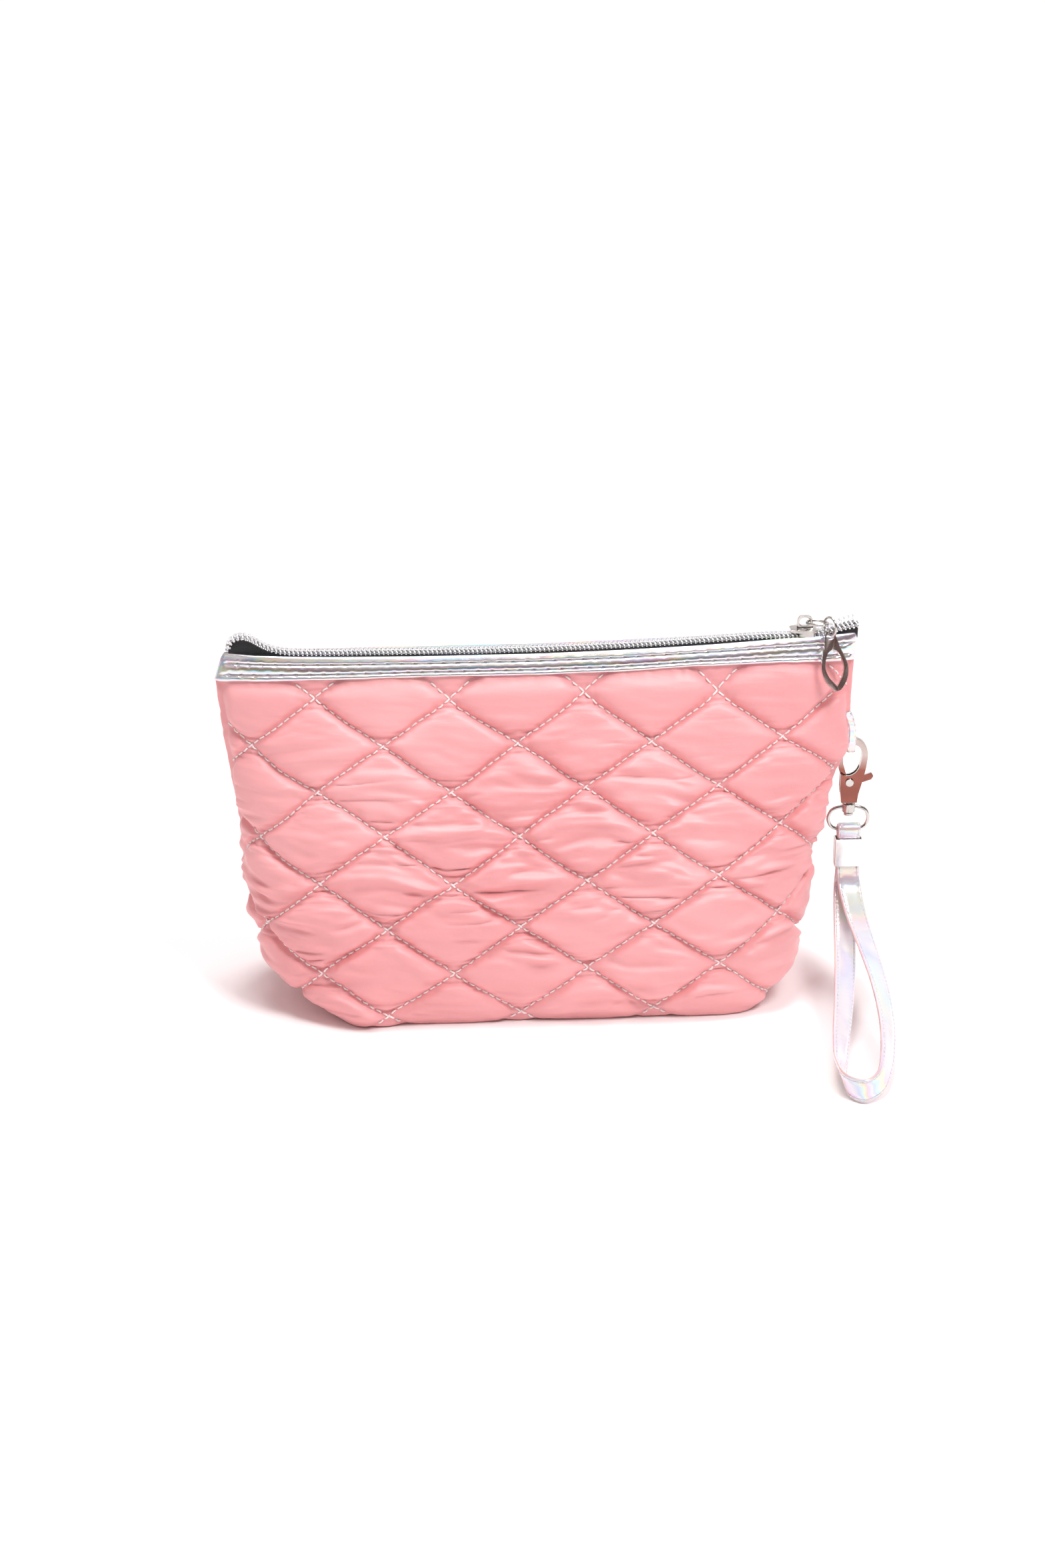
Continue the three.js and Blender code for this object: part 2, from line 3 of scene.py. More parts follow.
import bpy
import numpy as np
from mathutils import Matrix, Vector


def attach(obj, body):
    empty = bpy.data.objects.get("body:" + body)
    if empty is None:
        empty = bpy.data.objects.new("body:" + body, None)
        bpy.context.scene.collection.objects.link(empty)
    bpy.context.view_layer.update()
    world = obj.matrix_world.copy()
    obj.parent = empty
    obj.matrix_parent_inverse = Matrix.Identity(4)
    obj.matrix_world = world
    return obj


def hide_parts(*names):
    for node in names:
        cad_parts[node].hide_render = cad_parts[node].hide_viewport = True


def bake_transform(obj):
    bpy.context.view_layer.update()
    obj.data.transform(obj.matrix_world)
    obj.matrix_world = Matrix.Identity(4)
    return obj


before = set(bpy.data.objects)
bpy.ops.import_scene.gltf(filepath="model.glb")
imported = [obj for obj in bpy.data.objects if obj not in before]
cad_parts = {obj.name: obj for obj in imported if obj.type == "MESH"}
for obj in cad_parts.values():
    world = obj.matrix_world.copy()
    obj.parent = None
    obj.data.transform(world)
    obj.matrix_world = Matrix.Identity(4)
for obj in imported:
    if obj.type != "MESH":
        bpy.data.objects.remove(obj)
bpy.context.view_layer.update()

# Shapes are worked out in millimetres, in the frame's axes, and stored in metres.
MM = 0.001

# ---- the bag's own form ---------------------------------------------------------
# Each station: height, half length, half depth, sideways shift, flatness, end roundness.
STATIONS = np.array([
    [0, 80.5, 35.0, 4.0, 10, 4.2],
    [4.5, 87.7, 37.8, 1.8, 9, 4.0],
    [10.5, 95.0, 38.5, -0.3, 7, 3.4],
    [21, 102.0, 38.5, -3.0, 5.5, 2.9],
    [38, 106.5, 37, -3.5, 4.6, 2.4],
    [57, 109.5, 33, -2.5, 4, 2.1],
    [74, 112.0, 28, -1.7, 4, 1.9],
    [90, 116.3, 22, 0.1, 4, 1.8],
    [97, 118.5, 19.6, 1.4, 4, 1.75],
    [109, 118.8, 15.5, 0.0, 4, 1.7],
    [127, 120.3, 9.2, -0.5, 4, 1.6],
    [137.5, 121.0, 6.2, -0.5, 4, 1.5],
])
# Heights of the walls' foot and of the trim band's edges.
WALL_FOOT = 0.9
BAND_BOTTOM = 127.0
BAND_TOP = 137.5
# At the side seams each wall stops this far from the middle plane.
SEAM_GAP = 0.1
SECTION_STEPS = 400


def section(z):
    """Half length, half depth, shift, flatness and roundness of the bag at height z."""
    return [np.interp(z, STATIONS[:, 0], STATIONS[:, k]) for k in range(1, 6)]


HEIGHTS = np.linspace(0, BAND_TOP, 1400)
SLOPES = np.concatenate([
    [0],
    np.cumsum(np.hypot(np.diff(section(HEIGHTS)[1]), np.diff(HEIGHTS))),
])


def slope_at(z):
    """Distance up the wall's slope, measured half way along the bag."""
    return np.interp(z, HEIGHTS, SLOPES)


# The rim of the mouth is not level: how far the band's lower and upper edges stand above an
# even height, at places along the bag. At its closed end the rim also slants inward.
RIM_X = (-120, -90, -45, 0, 30, 60, 90, 120)
RIM_LOW = (0.3, 1.6, 2.6, 2.6, 3.1, 4.5, 4.7, 3.2)
RIM_TOP = (0.0, -0.7, -1.0, -0.9, -0.2, 0.9, 2.4, 3.2)
RIM_SLANT = 4.0
RIM_SLANT_START, RIM_SLANT_END = -104, -121
# The walls below start to follow the rim at this height.
RIM_EASE = 116


def settle_rim(points):
    """Lifts and slants points near the mouth to its uneven rim."""
    x, z = points[..., 0].copy(), points[..., 2].copy()
    share = np.clip((z - BAND_BOTTOM) / (BAND_TOP - BAND_BOTTOM), 0, 1)
    low = np.interp(x, RIM_X, RIM_LOW) * smoothstep(RIM_EASE, BAND_BOTTOM, z)
    points[..., 2] += low * (1 - share) + np.interp(x, RIM_X, RIM_TOP) * share
    points[..., 0] += RIM_SLANT * smoothstep(RIM_SLANT_START, RIM_SLANT_END, x) * share
    return points


def smoothstep(low, high, value):
    t = np.clip((value - low) / (high - low), 0, 1)
    return t * t * (3 - 2 * t)


# The noise repeats after this many cells, and starts this many cells before zero.
NOISE_CELLS, NOISE_START = 128, 500


def value_noise(x, y, cell, seed):
    """Smooth noise from -1 to 1 with features about one cell wide."""
    table = np.random.default_rng(seed).uniform(-1, 1, (NOISE_CELLS, NOISE_CELLS))
    gx, gy = np.asarray(x) / cell + NOISE_START, np.asarray(y) / cell + NOISE_START
    ix, iy = np.floor(gx).astype(int), np.floor(gy).astype(int)
    fx, fy = smoothstep(0, 1, gx - ix), smoothstep(0, 1, gy - iy)
    pick = lambda a, b: table[(ix + a) % NOISE_CELLS, (iy + b) % NOISE_CELLS]
    low = pick(0, 0) * (1 - fx) + pick(1, 0) * fx
    high = pick(0, 1) * (1 - fx) + pick(1, 1) * fx
    return low * (1 - fy) + high * fy


def wall_rows(slopes, fractions, inset=0.0):
    """Front wall points at distances up the slope, and at fractions of each half section.
    Slopes below the wall's foot run in under the base. Also returns each half section's length."""
    foot = slope_at(WALL_FOOT)
    points, lengths = [], []
    spread = (np.pi / 2) * np.linspace(0, 1, SECTION_STEPS) ** 2
    for slope in slopes:
        under = max(0.0, foot - slope)
        z = np.interp(max(slope, foot), SLOPES, HEIGHTS)
        length, depth, shift, flat, bulge = section(z)
        length, depth = length - inset - under, depth - inset - under
        x = length * np.sin(spread) ** (2 / flat)
        y = depth * np.maximum(np.cos(spread), 0) ** (2 / bulge)
        arc = np.concatenate([[0], np.cumsum(np.hypot(np.diff(x), np.diff(y)))])
        along = np.abs(fractions) * arc[-1]
        row_x = shift + np.sign(fractions) * np.interp(along, arc, x)
        row_y = -np.maximum(np.interp(along, arc, y), SEAM_GAP)
        points.append(np.stack([row_x, row_y, np.full_like(row_x, z)], axis=1))
        lengths.append(arc[-1])
    return np.array(points), np.array(lengths)


def grid_normals(points):
    """Unit normals of a grid of points, outward for a front wall."""
    along = np.gradient(points, axis=1)
    up = np.gradient(points, axis=0)
    normal = np.cross(along, up)
    return normal / np.maximum(np.linalg.norm(normal, axis=2, keepdims=True), 1e-9)


# ---- meshes ---------------------------------------------------------------------
def make_object(name, points, faces):
    mesh = bpy.data.meshes.new(name)
    mesh.from_pydata((np.asarray(points, float).reshape(-1, 3) * MM).tolist(), [], faces)
    mesh.validate()
    mesh.polygons.foreach_set("use_smooth", [True] * len(mesh.polygons))
    piece = bpy.data.objects.new(name, mesh)
    bpy.context.scene.collection.objects.link(piece)
    return piece


def grid_faces(rows, columns, start=0, flip=False, wrap=False):
    """Four-sided faces between neighbouring points. Where they wrap, the last column joins the first."""
    faces = []
    for r in range(rows - 1):
        for c in range(columns if wrap else columns - 1):
            a = start + r * columns + c
            b = start + r * columns + (c + 1) % columns
            d, e = a + columns, b + columns
            faces.append([a, d, e, b] if flip else [a, b, e, d])
    return faces


def grid_object(name, points, flip=False):
    rows, columns = points.shape[:2]
    return make_object(name, points, grid_faces(rows, columns, flip=flip))


def dress(piece, material):
    piece.data.materials.clear()
    piece.data.materials.append(material)
    return piece


def unit_rows(vectors):
    return vectors / np.linalg.norm(vectors, axis=1, keepdims=True)


def sides_along(path):
    """Two side directions at each point of a path, carried along without twist."""
    tangent = unit_rows(np.gradient(path, axis=0))
    first = np.cross(tangent[0], [0.0, 0.0, 1.0])
    if np.linalg.norm(first) < 0.1:
        first = np.cross(tangent[0], [0.0, 1.0, 0.0])
    sides = [first / np.linalg.norm(first)]
    for t in tangent[1:]:
        side = sides[-1] - t * np.dot(sides[-1], t)
        sides.append(side / np.linalg.norm(side))
    sides = np.array(sides)
    return sides, np.cross(tangent, sides)


def tube_parts(path, radius, around, start=0):
    """Points and faces of a round tube along a path, with closed ends."""
    side, up = sides_along(path)
    turn = 2 * np.pi * np.arange(around) / around
    ring = np.cos(turn)[None, :, None] * side[:, None] + np.sin(turn)[None, :, None] * up[:, None]
    points = (path[:, None] + radius * ring).reshape(-1, 3)
    faces = grid_faces(len(path), around, start, wrap=True)
    last = start + (len(path) - 1) * around
    faces.append([start + k for k in range(around)][::-1])
    faces.append([last + k for k in range(around)])
    return points, faces


def many_tubes(name, paths, radius, around):
    """One object of many short tubes."""
    points, faces, start = [], [], 0
    for path in paths:
        more, their_faces = tube_parts(path, radius, around, start)
        points.append(more)
        faces += their_faces
        start += len(more)
    return make_object(name, np.concatenate(points), faces)


# ---- quilting -------------------------------------------------------------------
# A diamond's size, where the corner of one lies, and grid steps across half a diamond.
QUILT_WIDE, QUILT_HIGH = 50.3, 34.5
QUILT_X, QUILT_SLOPE = 16.5, 22.7
HALF_CELL = 18
# The flat cloth reaches past the wall's edges: half its length, lowest and highest slope.
CLOTH_HALF, CLOTH_LOW, CLOTH_HIGH = 134, -14, 142
SEAM_SPACING = 1 / math.hypot(1 / QUILT_WIDE, 1 / QUILT_HIGH)
PUFF_CAP = 6.5


def seam_numbers(x, slope):
    """How many seams of each family lie before a point. Whole numbers are on a seam."""
    across = (x - QUILT_X) / QUILT_WIDE
    up = (slope - QUILT_SLOPE) / QUILT_HIGH
    return across + up, across - up


def seam_distance(x, slope):
    one, two = seam_numbers(x, slope)
    return np.minimum(abs(one - np.round(one)), abs(two - np.round(two))) * SEAM_SPACING


def seam_wander(x, slope):
    """How far a hand-guided seam strays up or down from its straight line."""
    stray = 0.8 * value_noise(x, slope, 30, 91) + 0.35 * value_noise(x, slope, 9, 92)
    return stray + 3.4 * smoothstep(-74, -104, x) * smoothstep(128, 92, slope)


def puff_shares(x, slope, seed):
    """A number from -1 to 1 that is the same all over one diamond."""
    one, two = seam_numbers(x, slope)
    puffs = np.random.default_rng(seed).uniform(-1, 1, (64, 64))
    return puffs[np.floor(one).astype(int) % 64, np.floor(two).astype(int) % 64]


def gathers(x, slope):
    """Height of the small sideways wrinkles: soft folds, with short creases between them."""
    bent_x = x + 3.5 * value_noise(x, slope, 24, 81)
    bent_up = slope + 2.6 * value_noise(x * 0.6, slope, 12, 82) + 0.03 * x
    soft = value_noise(bent_x * 0.16, bent_up, 2.9, 83)
    fine = value_noise(bent_x * 0.3, bent_up, 1.9, 84)
    bent_line = slope + 1.2 * value_noise(x * 0.5, slope, 14, 87)
    line = value_noise(bent_x * 0.12, bent_line, 4.4, 85)
    shown = smoothstep(-0.1, 0.5, value_noise(x * 0.6, slope, 9, 86))
    crease = np.exp(-(line / 0.15) ** 2) * shown
    lower = 0.35 + 0.95 * smoothstep(118, 76, slope)
    strength = lower * (0.8 + 0.3 * puff_shares(x, slope, 4))
    return (1.15 * soft + 0.42 * fine - 1.0 * crease) * strength


def quilt_grid():
    """Flat grid whose diagonals lie on the seams, its columns and rows."""
    dx, dt = QUILT_WIDE / 2 / HALF_CELL, QUILT_HIGH / 2 / HALF_CELL
    columns = np.arange(
        math.floor((-CLOTH_HALF - QUILT_X) / dx), math.ceil((CLOTH_HALF - QUILT_X) / dx) + 1)
    rows = np.arange(
        math.floor((CLOTH_LOW - QUILT_SLOPE) / dt), math.ceil((CLOTH_HIGH - QUILT_SLOPE) / dt) + 1)
    return QUILT_X + columns * dx, QUILT_SLOPE + rows * dt


def pull_together(one, two, rest, free_one, free_two, stretch, squeeze):
    """Moves pairs of neighbouring points towards their cut distance. Sewn points stay put."""
    gap = two - one
    length = np.sqrt((gap ** 2).sum(axis=2, keepdims=True)) + 1e-9
    over = (length - rest) / length
    over *= np.where(over > 0, stretch, squeeze)
    shares = np.maximum(free_one + free_two, 1)
    one += gap * over * free_one / shares
    two -= gap * over * free_two / shares


def neighbour_slices(count, first):
    """Slices that pair up points first with first + 1, first + 2 with first + 3, and so on."""
    pairs = (count - first) // 2
    return slice(first, first + 2 * pairs, 2), slice(first + 1, first + 1 + 2 * pairs, 2)


def settle_lengths(points, free, rest_x, rest_up):
    """One round of pulling every pair of neighbours, across, slanting and upward."""
    rest_slant = np.sqrt(rest_x ** 2 + rest_up ** 2)
    rows, columns = points.shape[:2]
    for first in (0, 1):
        a, b = neighbour_slices(columns, first)
        pull_together(points[:, a], points[:, b], rest_x[:, a], free[:, a], free[:, b], 1, GATHER_PUSH)
        for low, high in ((slice(0, -1), slice(1, None)), (slice(1, None), slice(0, -1))):
            pull_together(
                points[low, a], points[high, b], rest_slant[low, a], free[low, a], free[high, b],
                SLANT_PULL, GATHER_PUSH / 2)
        a, b = neighbour_slices(rows, first)
        pull_together(points[a], points[b], rest_up[a], free[a], free[b], 1, GATHER_PUSH)


# The cloth's extra length up the wall and along it, for each length between seams.
GATHER = 1.10
WIDE = 1.02
# Pressure from below, push back when squeezed, pull on the slant, and stiffness in bending.
PUFF_PRESSURE = 0.014
GATHER_PUSH = 0.75
SLANT_PULL = 0.6
BEND = 0.14
DRAG = 0.9
SETTLE_STEPS = 230
LENGTH_ROUNDS = 3


def simulate_quilting():
    """Cloth sewn down along the stitched diamonds and blown up from below. It is cut longer than
    the space between its seams, so it gathers. Returns the grid and how far each point moved."""
    xs, slopes = quilt_grid()
    x, slope = np.meshgrid(xs, slopes)
    edge = seam_distance(x, slope)
    own = puff_shares(x, slope, 3)
    free = ((edge > 0.2) & ~border_of(x.shape)).astype(float)[..., None]
    folds = value_noise(x, slope * 2.6, 15, 5) + 0.6 * value_noise(x, slope * 3.4, 8, 6)
    start = 1.6 * smoothstep(0, 9, edge) + 0.9 * folds * smoothstep(0, 5, edge)
    points = np.stack([x, slope, start], axis=2)
    rest_x = np.full((*x.shape, 1), (xs[1] - xs[0]) * WIDE)
    low_gather = 0.03 * smoothstep(105, 60, slope)
    rest_up = ((slopes[1] - slopes[0]) * (GATHER + 0.03 * own + low_gather))[..., None]
    before = points.copy()
    for _ in range(SETTLE_STEPS):
        speed = (points - before) * DRAG
        before = points.copy()
        points = points + (speed + grid_normals(points) * PUFF_PRESSURE) * free
        for _ in range(LENGTH_ROUNDS):
            settle_lengths(points, free, rest_x, rest_up)
        near = points.copy()
        near[1:-1, 1:-1] = (
            points[:-2, 1:-1] + points[2:, 1:-1] + points[1:-1, :-2] + points[1:-1, 2:]) / 4
        points += (near - points) * BEND * free
    move = points - np.stack([x, slope, 0 * x], axis=2)
    move[..., 2] = np.clip(move[..., 2], -1.0, PUFF_CAP)
    return xs, slopes, move


def border_of(shape):
    border = np.zeros(shape, bool)
    border[[0, -1], :] = border[:, [0, -1]] = True
    return border


def sample_grid(field, xs, slopes, x, slope):
    """Values of a grid field at any points, blended between grid points."""
    gx = np.clip((x - xs[0]) / (xs[1] - xs[0]), 0, len(xs) - 1.001)
    gy = np.clip((slope - slopes[0]) / (slopes[1] - slopes[0]), 0, len(slopes) - 1.001)
    ix, iy = gx.astype(int), gy.astype(int)
    fx, fy = (gx - ix)[..., None], (gy - iy)[..., None]
    low = field[iy, ix] * (1 - fx) + field[iy, ix + 1] * fx
    high = field[iy + 1, ix] * (1 - fx) + field[iy + 1, ix + 1] * fx
    return low * (1 - fy) + high * fy


# The cloth lies this far inside the wall at its seams, and runs this far in under the base.
SEAM_INSET = 1.9
LAP_UNDER = 8.0
# It ends this far above the trim band's lower edge, under the band.
BAND_LAP = 1.2
# Puffs rise steeply beside their seams and level off at this height.
PUFF_TOP, PUFF_EASE = 4.0, 1.9
# A wall's lower left corner sticks out: its place along the bag, reach, height and depth.
CORNER_X, CORNER_REACH, CORNER_HIGH, CORNER_OUT = -68, 13, 24, 5
FLOOR_GAP = 0.05


class Quilt:
    """A quilted wall as a fine grid of points, for its cloth and for the thread on it."""

    def __init__(self, moves, side, x_offset, columns=341, rows=280):
        self.side, self.x_offset = side, x_offset
        low, high = slope_at(WALL_FOOT) - LAP_UNDER, slope_at(BAND_BOTTOM + BAND_LAP)
        self.slopes = np.linspace(low, high, rows)
        self.fractions = np.linspace(-1, 1, columns)
        base, self.lengths = wall_rows(self.slopes, self.fractions)
        self.shift = section(np.interp(self.slopes, SLOPES, HEIGHTS))[2]
        self.place()
        points = settle_rim(self.raise_cloth(base, moves))
        mirror = [1, -side, 1]
        self.points = points * mirror
        self.normals = grid_normals(points) * mirror

    def place(self):
        """Where each point lies on the flat cloth, and how near it is to the cloth's edges."""
        arc = self.lengths[:, None] * self.fractions[None, :]
        self.x = arc + self.shift[:, None]
        self.slope = np.broadcast_to(self.slopes[:, None], arc.shape)
        self.sewn_x = self.x + self.x_offset
        self.sewn_up = self.slope + seam_wander(self.sewn_x, self.slope)
        self.to_side = self.lengths[:, None] - abs(arc)
        self.to_band = slope_at(BAND_BOTTOM) - self.slope
        self.above_foot = self.slope - slope_at(WALL_FOOT)

    def relief(self, swell):
        """Height of the cloth over the wall: its puffs, wrinkles and puckered edges."""
        edge = seam_distance(self.sewn_x, self.sewn_up)
        puff = PUFF_TOP * np.tanh(swell / PUFF_EASE)
        puff = puff + gathers(self.sewn_x, self.sewn_up) * smoothstep(0.2, 3.2, edge)
        tug = value_noise(self.sewn_x, self.sewn_up * 0.7, 1.6, 33)
        puff = puff + 0.3 * tug * np.exp(-((edge - 1.6) / 1.1) ** 2)
        inset = SEAM_INSET * smoothstep(0, 2.5, self.to_side) * smoothstep(-3, 9, self.above_foot)
        pucker = value_noise(self.x * 0.2, self.slope, 2.6, 31) * (1 - smoothstep(1, 7, self.to_side))
        hem = value_noise(self.x, self.slope * 0.2, 2.2, 32) * (1 - smoothstep(0, 5, self.to_band))
        return puff * self.freedom() - inset + 0.35 * pucker - 0.25 * hem

    def freedom(self):
        """From 0 to 1: how freely the cloth puffs up, away from the edges that it is sewn to."""
        free = smoothstep(0, 8, self.to_side) * (0.45 + 0.55 * smoothstep(0, 7, self.to_band))
        return free * (0.3 + 0.7 * smoothstep(-1, 13, self.above_foot))

    def raise_cloth(self, base, moves):
        """The wall's points, moved as the sewn cloth moved."""
        xs, slopes, field = moves
        move = sample_grid(field, xs, slopes, self.sewn_x, self.sewn_up)
        normal = grid_normals(base)
        along = np.gradient(base, axis=1)
        along /= np.linalg.norm(along, axis=2, keepdims=True)
        up = np.cross(normal, along)
        free = self.freedom()
        points = base + normal * self.relief(move[..., 2])[..., None]
        points += along * (move[..., 0] * free)[..., None] + up * (move[..., 1] * free)[..., None]
        near_corner = np.exp(-((points[..., 0] - CORNER_X) / CORNER_REACH) ** 2)
        points[..., 1] -= CORNER_OUT * near_corner * smoothstep(CORNER_HIGH, 0, points[..., 2])
        points[..., 2] = np.maximum(points[..., 2], FLOOR_GAP)
        return points

    def at(self, x, slope):
        """Surface point and normal at a place given as for the seams."""
        row = (slope - self.slopes[0]) / (self.slopes[1] - self.slopes[0])
        row = np.clip(row, 0, len(self.slopes) - 1.001)
        length = np.interp(slope, self.slopes, self.lengths)
        fraction = (x - self.x_offset - np.interp(slope, self.slopes, self.shift)) / length
        last = len(self.fractions) - 1
        column = np.clip((fraction + 1) / 2 * last, 0, last - 0.001)
        rows, columns = np.arange(len(self.slopes)), np.arange(len(self.fractions))
        here = [sample_grid(grid, columns, rows, column, row) for grid in (self.points, self.normals)]
        return here[0], here[1], fraction

    def cloth(self, name, columns=slice(None)):
        return grid_object(name, self.points[:, columns], flip=self.side > 0)


STITCH_PITCH, STITCH_LENGTH, THREAD_RADIUS = 3.0, 2.1, 0.34
THREAD_SIDES = 6
# Height of a stitch over the cloth from its one end to its other.
STITCH_LIFT = np.array([0.0, 0.32, 0.42, 0.32, 0.0])
# Seams counted to each side of the middle one, which is enough to cover a wall.
SEAMS_EACH_WAY = 9
# Stitches stop at this share of the way to the side seams.
STITCH_REACH = 0.985


def seam_stitches(quilt, keep):
    """Paths of the stitches along both families of seams, where keep(x) allows."""
    paths = []
    reach = SEAM_SPACING * SEAMS_EACH_WAY
    for direction in (1, -1):
        unit = np.array([QUILT_WIDE, -direction * QUILT_HIGH])
        unit /= np.hypot(*unit)
        for number in range(-SEAMS_EACH_WAY, SEAMS_EACH_WAY + 1):
            origin = np.array([QUILT_X + number * QUILT_WIDE, QUILT_SLOPE])
            for step in np.arange(-reach, reach, STITCH_PITCH):
                ends = step + np.linspace(-0.5, 0.5, 5) * STITCH_LENGTH
                spots = origin + ends[:, None] * unit
                spots[:, 1] -= seam_wander(spots[:, 0], spots[:, 1])
                points, normals, fraction = quilt.at(spots[:, 0], spots[:, 1])
                inside = np.all(abs(fraction) < STITCH_REACH)
                inside &= np.all(spots[:, 1] < slope_at(BAND_BOTTOM) - 0.3)
                inside &= np.all(spots[:, 1] > slope_at(WALL_FOOT) + 0.5)
                if inside and keep(points[2, 0]):
                    paths.append(points + normals * STITCH_LIFT[:, None])
    return paths


# ---- materials -------------------------------------------------------------------
class Shades:
    """Short ways to add shader nodes to a node tree."""

    def __init__(self, tree):
        self.tree = tree
        self.coordinates = self.add("ShaderNodeTexCoord").outputs

    def add(self, kind, **inputs):
        """Adds a node. Inputs go by name, with _ for a space, or by number after an _."""
        node = self.tree.nodes.new(kind)
        for name, value in inputs.items():
            key = int(name[1:]) if name[0] == "_" else name.replace("_", " ")
            self.connect(value, node.inputs[key])
        return node

    def connect(self, value, socket):
        if isinstance(value, bpy.types.NodeSocket):
            self.tree.links.new(value, socket)
        else:
            socket.default_value = value

    def math(self, operation, a, b):
        node = self.add("ShaderNodeMath", _0=a, _1=b)
        node.operation = operation
        return node.outputs[0]

    def scaled(self, place, scale):
        return self.add("ShaderNodeMapping", Vector=place, Scale=scale).outputs[0]

    def axes(self, vector):
        return self.add("ShaderNodeSeparateXYZ", Vector=vector).outputs

    def ramp(self, value, stops):
        node = self.add("ShaderNodeValToRGB", Fac=value)
        band = node.color_ramp.elements
        while len(band) < len(stops):
            band.new(0.5)
        for element, (position, colour) in zip(band, stops):
            element.position = position
            element.color = (*colour, 1)
        return node.outputs[0]

    def mix(self, share, one, two):
        node = self.add("ShaderNodeMix")
        node.data_type = "RGBA"
        self.connect(share, node.inputs[0])
        for colour, socket in ((one, node.inputs[6]), (two, node.inputs[7])):
            self.connect((*colour, 1) if isinstance(colour, tuple) else colour, socket)
        return node.outputs[2]

    def remap(self, value, start, end, low, high):
        """Runs from low to high as the value runs from start to end."""
        node = self.add(
            "ShaderNodeMapRange", Value=value, From_Min=start, From_Max=end, To_Min=low, To_Max=high)
        return node.outputs[0]


class Paint(Shades):
    """A node material with one Principled shader."""

    def __init__(self, name, **settings):
        self.material = bpy.data.materials.new(name)
        self.material.use_nodes = True
        super().__init__(self.material.node_tree)
        self.shader = self.tree.nodes["Principled BSDF"]
        for socket, value in settings.items():
            self.shader.inputs[socket.replace("_", " ")].default_value = value
        self.place, self.normal = self.coordinates["Object"], self.coordinates["Normal"]
        self.last_bump = None

    def noise(self, scale, detail=3.0, stretch=None, distortion=0.0):
        place = self.scaled(self.place, stretch) if stretch else self.place
        node = self.add(
            "ShaderNodeTexNoise", Vector=place, Scale=scale, Detail=detail, Distortion=distortion)
        return node.outputs[0]

    def wave(self, scale, distortion, direction="X"):
        node = self.add("ShaderNodeTexWave", Vector=self.place, Scale=scale, Distortion=distortion)
        node.bands_direction = direction
        return node.outputs[1]

    def mottle(self, scale, low, high, detail=3.0):
        """Two tones that run into each other in patches."""
        return self.ramp(self.noise(scale, detail), [(0.3, low), (0.7, high)])

    def colour(self, value):
        self.connect(value, self.shader.inputs["Base Color"])

    def rough(self, value, low, high):
        self.connect(self.remap(value, 0, 1, low, high), self.shader.inputs["Roughness"])

    def bump(self, height, distance, strength):
        node = self.add("ShaderNodeBump", Height=height, Distance=distance, Strength=strength)
        if self.last_bump:
            self.connect(self.last_bump, node.inputs["Normal"])
        self.last_bump = node.outputs[0]
        self.connect(self.last_bump, self.shader.inputs["Normal"])


def nylon_material():
    paint = Paint(
        "pink_nylon", Roughness=0.42, Sheen_Weight=0.15, Sheen_Roughness=0.35,
        Sheen_Tint=(1.0, 0.85, 0.87, 1), Specular_IOR_Level=0.45)
    tone = paint.mottle(14.0, (0.86, 0.34, 0.35), (0.93, 0.42, 0.43), 4.0)
    glint = paint.math("MULTIPLY", paint.noise(900.0, 2.0), 0.16)
    paint.colour(paint.mix(glint, tone, (0.93, 0.55, 0.58)))
    paint.rough(paint.noise(60.0, 4.0), 0.36, 0.5)
    creases = paint.noise(55.0, 5.0, (0.6, 0.6, 2.6), distortion=0.4)
    paint.bump(creases, 0.0011, 0.55)
    paint.bump(paint.wave(620.0, 0.6, "DIAGONAL"), 0.00002, 0.4)
    return paint.material


def thread_material(name, low, high, roughness=0.45, sheen=0.2):
    """Twisted thread."""
    paint = Paint(name, Roughness=roughness, Sheen_Weight=sheen)
    paint.colour(paint.mottle(700.0, low, high))
    paint.bump(paint.wave(900.0, 1.0), 0.00005, 0.6)
    return paint.material


# Colours of the painted rainbow glints on the silvered films.
RAINBOW = [
    (0.0, (0.82, 0.81, 0.85)), (0.16, (0.45, 0.58, 0.94)), (0.3, (0.50, 0.88, 0.90)),
    (0.44, (0.80, 0.92, 0.62)), (0.56, (0.98, 0.80, 0.48)), (0.70, (0.94, 0.54, 0.62)),
    (0.84, (0.70, 0.56, 0.92)), (1.0, (0.84, 0.83, 0.87)),
]


def holographic_material(name, stretch, patch, cycles, strength, silver, **settings):
    """Silvered film with painted rainbow glints. Pale rainbow bands, a painted reflection, follow the lie
    of its surface and drift along the piece.
    """
    paint = Paint(name, **settings)
    lie = paint.axes(paint.normal)
    # Painted reflection: the rainbow's colour is set by which way the surface faces.
    tilt = paint.math("ADD", paint.math("MULTIPLY", lie["Z"], 1.1), paint.math("MULTIPLY", lie["X"], 0.7))
    flow = paint.noise(patch, 2.0, stretch, distortion=0.8)
    turns = paint.math("ADD", tilt, paint.math("MULTIPLY", flow, cycles))
    painted_rainbow = paint.ramp(paint.math("FRACT", turns, 0.0), RAINBOW)
    share = paint.ramp(
        paint.noise(patch * 1.7, 3.0, stretch), [(0.36, (0.1, 0.1, 0.1)), (0.66, (1, 1, 1))])
    plain = paint.mottle(9.0, *silver)
    paint.colour(paint.mix(paint.math("MULTIPLY", share, strength), plain, painted_rainbow))
    paint.rough(paint.noise(120.0, 3.0), 0.16, 0.3)
    paint.bump(paint.noise(210.0, 3.0), 0.0003, 0.25)
    return paint.material


